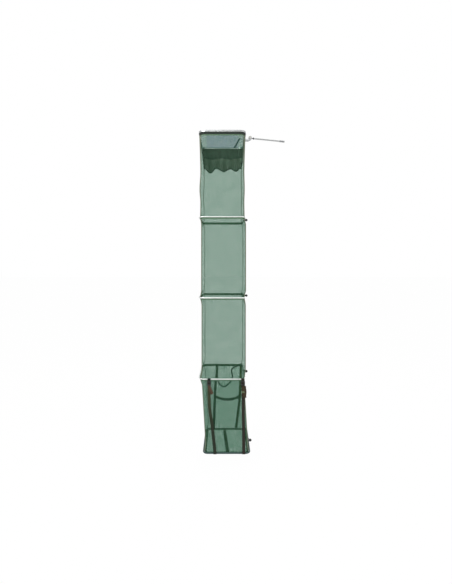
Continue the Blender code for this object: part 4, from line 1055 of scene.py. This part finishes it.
def make_spare():
    """The folded spare webbing below the right buckle, with its side loops, its end and its keeper."""
    middle = strap_x("near_right", 0.085)
    depth = STRAP_FACE + STRAP_THICK / 2 + 0.0002
    pitch, wide = 0.0034, 0.024
    layers = ((-0.052, -0.131), (-0.133, -0.055), (-0.051, -0.126), (-0.128, -0.058))
    points = []
    for layer, (start, end) in enumerate(layers):
        y = -(depth + layer * pitch)
        points += [(middle + 0.0006 * layer, y, start),
                   (middle + 0.0010 * layer, y - 0.0006 * (layer + 1), mix(start, end, 0.5)),
                   (middle - 0.0006 * layer, y, end)]
        if layer < len(layers) - 1:
            swing = -1 if layer % 2 == 0 else 1
            points.append((middle, y - pitch / 2, end + swing * pitch * 0.55))
    line = smooth_line([(x, y, RING_4_Z + z) for x, y, z in points], 0.0022)
    folds = strip(line, lambda i: (1.0, 0.0, 0.05 * math.sin(i * 0.045)), wide, STRAP_THICK)
    piece("spare_webbing", folds, SPARE, "ring_4", "brown_webbing", "folded_webbing", 50)
    loops = []
    for z, reach, tall in ((-0.058, 0.013, 0.010), (-0.079, 0.010, 0.008), (-0.112, 0.012, 0.009)):
        ring = [Vector((middle + 0.0075 + reach * 0.5 * (1 - x), -(depth + 0.0052 + 0.004 * y),
                        RING_4_Z + z + tall * 0.5 * y - 0.002 * x)) for x, y in oval(1.0, 1.0, 28)]
        loops.append(swept(ring, flat_section(0.008, 0.0007, 0.0005, False), True, (0.10, 1.0, 0.10)))
    piece("spare_loops", joined(loops), SPARE, "ring_4", "brown_webbing", creases=50)
    front = depth + 4 * pitch
    flap = ((0.003, 0.0, -0.046), (0.010, 0.0012, -0.064), (0.0135, 0.0, -0.092), (0.011, 0.0010, -0.118),
            (0.013, 0.0006, -0.137))
    line = smooth_line([(middle + x, -front - y, RING_4_Z + z) for x, y, z in flap], 0.003)
    end = strip(line, lambda i: (1.0, 0.10 * math.sin(i * 0.25), 0.04), wide, STRAP_THICK)
    piece("spare_end", end, SPARE, "ring_4", "brown_webbing", creases=50)
    band = [Vector((middle + place.x, -(depth + 1.5 * pitch) + place.y - 0.0006, RING_4_Z - 0.092))
            for place, _, _ in outline((0.0132, 1.5 * pitch + 0.0030), 0.0024, 6, 4)]
    keeper = swept(band, flat_section(0.005, 0.0005, 0.0005, False), True, UP)
    piece("spare_keeper", keeper, DARK_GREEN, "ring_4", "brown_webbing", creases=50)


def make_tail():
    """The loose tail of webbing below the left buckle."""
    left = strap_x("near_left", 0.045)
    course = ((0.0, 0.0022, -0.0395), (0.004, 0.0052, -0.056), (0.013, 0.0060, -0.080),
              (0.022, 0.0038, -0.104), (0.025, 0.0042, -0.112))
    line = smooth_line([(left + x, -(STRAP_FACE + y), RING_4_Z + z) for x, y, z in course], 0.003)
    tail = strip(line, lambda i: (1.0, -0.15 + 0.012 * i, 0.0), LOOSE_WIDE, LOOSE_THICK)
    piece("loose_tail", tail, MAROON, "ring_4", "brown_webbing", creases=50)


def make_eye(body, joiner):
    """The moulded eye through the lug of a ring's joiner, for the cord that ties the folded rings up."""
    low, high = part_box(joiner)
    centre = Vector((high[0] - 0.0090, (low[1] + high[1]) / 2, (low[2] + high[2]) / 2))
    ring = [centre + Vector((x, 0.0, z)) for x, z in oval(0.0066, 0.0066, 40)]
    piece(f"eye_{body}", swept(ring, oval(0.0085, 0.0038, 14), True, (0.0, 1.0, 0.0)), BLACK, body,
          "black_plastic", creases=60)


def handle_place(share):
    """A point along the sagging handle."""
    left, right = strap_x("far_left", HANDLE_DROP), strap_x("far_right", HANDLE_DROP)
    return Vector((mix(left, right, share), STRAP_FACE + STRAP_THICK / 2,
                   RING_4_Z - HANDLE_DROP - 4 * HANDLE_SAG * share * (1 - share)))


def make_handle():
    """The carrying handle: webbing slung between the far straps, sewn patches and a padded grip."""
    line = [handle_place(share) for share in steps(0, 1, 60)]
    band = piece("handle_webbing", strip(line, UP, 0.022, STRAP_THICK), DARK_GREEN, "ring_4",
                 "dark_green_tape", "handle_strap", 50)
    count = 56
    stations = [handle_place(share) for share in steps(0.235, 0.765, count)]

    def fullness(i):
        share = i / count
        turn = 2 * math.pi * share
        taper = 0.72 + 0.28 * min(1.0, min(share, 1 - share) / 0.035) ** 0.6
        return taper * (1 + 0.018 * math.sin(6 * turn + 0.5) + 0.010 * math.sin(17 * turn))

    section = [(0.0118 * x * (1 + 0.03 * (x * x - y * y)), 0.0112 * y) for x, y in oval(1.0, 1.0, 28)]
    grip = piece("grip", swept(stations, section, across=UP, scale=fullness), GRIP, "ring_4", "grip_green",
                 "handle_grip", 70)
    ridge = [point + Vector((0.0, 0.0, 0.0121 * fullness(i) + 0.0002)) for i, point in enumerate(stations)]
    seam = piece("grip_seam", swept(ridge[2:-2], oval(0.0009, 0.0009, 8)), NAVY, "ring_4", "grip_green")
    patches = []
    for share in (0.0, 1.0):
        spot = handle_place(share) + Vector((0.0, STRAP_THICK + 0.0002, 0.0))
        patches.append(strip([spot + Vector((0.0, 0.0, z)) for z in steps(-0.013, 0.013, 6)], RIGHT, 0.021,
                             0.0012))
    patch = piece("handle_patches", joined(patches), OLIVE, "ring_4", "olive_webbing", creases=50)
    for soft in (band, grip, seam, patch):
        fold(soft, "base_slide")


# The tie cord's route: across from the net's middle, and up from the fourth ring
TIE_CORD_ROUTE = (
    (0.1500, -0.0147), (0.1408, -0.0185), (0.1225, -0.024), (0.104, -0.033), (0.088, -0.044),
    (0.079, -0.056), (0.079, -0.070), (0.083, -0.085), (0.087, -0.101), (0.088, -0.117), (0.084, -0.135),
    (0.075, -0.153), (0.061, -0.172), (0.044, -0.190), (0.026, -0.202), (0.010, -0.206), (-0.006, -0.202),
    (-0.021, -0.191), (-0.034, -0.173), (-0.043, -0.150), (-0.0475, -0.122), (-0.0490, -0.090),
    (-0.0497, -0.058), (-0.0498, -0.0228),
)


def make_tie_cord():
    """The loose tie cord behind the net, and the overhand knot at each end of it."""
    depth = STRAP_FACE + 0.0125
    for side in ("left", "right"):
        middle = Vector((strap_x("far_" + side, KNOT_DROP), depth, RING_4_Z - KNOT_DROP))
        line = []
        for step in range(72):
            t = 2 * math.pi * step / 72
            line.append(middle + Vector(((math.sin(t) + 2 * math.sin(2 * t)) * 0.0031,
                                         -math.sin(3 * t) * 0.0036 + 0.0006,
                                         (math.cos(t) - 2 * math.cos(2 * t)) * 0.0031)))
        piece(f"knot_{side}", swept(line, oval(0.0042, 0.0042, 12), closed=True), CORD,
                           "ring_4", "olive_webbing", f"cord_knot_{side}")
    points = [(NET_X + x, depth, RING_4_Z + z) for x, z in TIE_CORD_ROUTE]
    fine = smooth_line(smooth_line(points, CORD_POINT_SPACING), 0.0036)
    cord = piece("tie", swept(fine, oval(CORD_RADIUS, CORD_RADIUS, 16)), CORD, "ring_4", "olive_webbing",
                 "tie_cord")
    round(distances(fine)[-1], 3)


make_tie_cord()
make_hem()
make_skirt()
make_guard()
for part in SECTIONS:
    make_wall(part)
    make_seams(part)
for part in SECTIONS[1:]:
    make_ring_dressing(part)
make_sleeve()
make_floor_of_net()
for name in STRAPS:
    make_strap(name)
for body in ("ring_2", "ring_3", "ring_4", "base"):
    make_eye(body, "base_ring_joiner" if body == "base" else f"{body}_joiner")
for side in ("left", "right"):
    make_buckle(side)
make_spare()
make_tail()
make_handle()


# Floor, world and lamps. The camera sees the floor at this share of plain white
FLOOR_WHITE, FLOOR_DROP, FLOOR_REACH = 0.985, 0.13, 40.0
LAMP_AIM = Vector((-0.45, 0.0, -1.2))


def make_studio_floor():
    """A pale floor below the net, which the camera sees all but white."""
    s = Shader("studio_floor")
    s.tree.nodes.remove(s.main)
    pale = s.node("BsdfDiffuse", {"Color": (0.90, 0.90, 0.89)})
    white = s.node("Emission", {"Color": (1.0, 1.0, 1.0), "Strength": 1.0})
    share = s.times(s.shown(), FLOOR_WHITE)
    s.surface(s.node("MixShader", {0: share, 1: pale.outputs[0], 2: white.outputs[0]}))
    mesh = bpy.data.meshes.new("studio_floor")
    mesh.from_pydata([(-x * FLOOR_REACH, -y * FLOOR_REACH, BASE_Z - FLOOR_DROP) for x, y in CORNERS], [],
                     [(0, 1, 2, 3)])
    mesh.materials.append(s.material)
    floor = bpy.data.objects.new("studio_floor", mesh)
    scene.collection.objects.link(floor)


def make_world(level):
    """Even light all round, and plain white where the camera sees it."""
    world = bpy.data.worlds.new("studio")
    scene.world = world
    world.use_nodes = True
    world.node_tree.nodes.clear()
    nodes = Nodes(world.node_tree)
    back = nodes.node("Background", {"Color": (1.0, 1.0, 1.0),
                                     "Strength": nodes.range(nodes.shown(), 0.0, 1.0, level, 1.0)})
    nodes.node("OutputWorld", {"Surface": back.outputs[0]})


def make_lamp(name, place, size, power):
    """A soft lamp, turned towards the net."""
    data = bpy.data.lights.new(name, "AREA")
    data.shape = "RECTANGLE"
    data.size, data.size_y = size
    data.energy = power
    obj = bpy.data.objects.new(name, data)
    obj.location = place
    obj.rotation_euler = (LAMP_AIM - Vector(place)).to_track_quat("-Z", "Y").to_euler()
    scene.collection.objects.link(obj)


make_studio_floor()
make_world(0.55)
make_lamp("key", (-2.6, -3.2, 1.6), (2.4, 2.4), 150.0)
make_lamp("fill", (2.8, -2.4, -0.4), (2.0, 3.0), 60.0)
make_lamp("back", (0.6, 3.2, 0.8), (2.4, 2.4), 70.0)
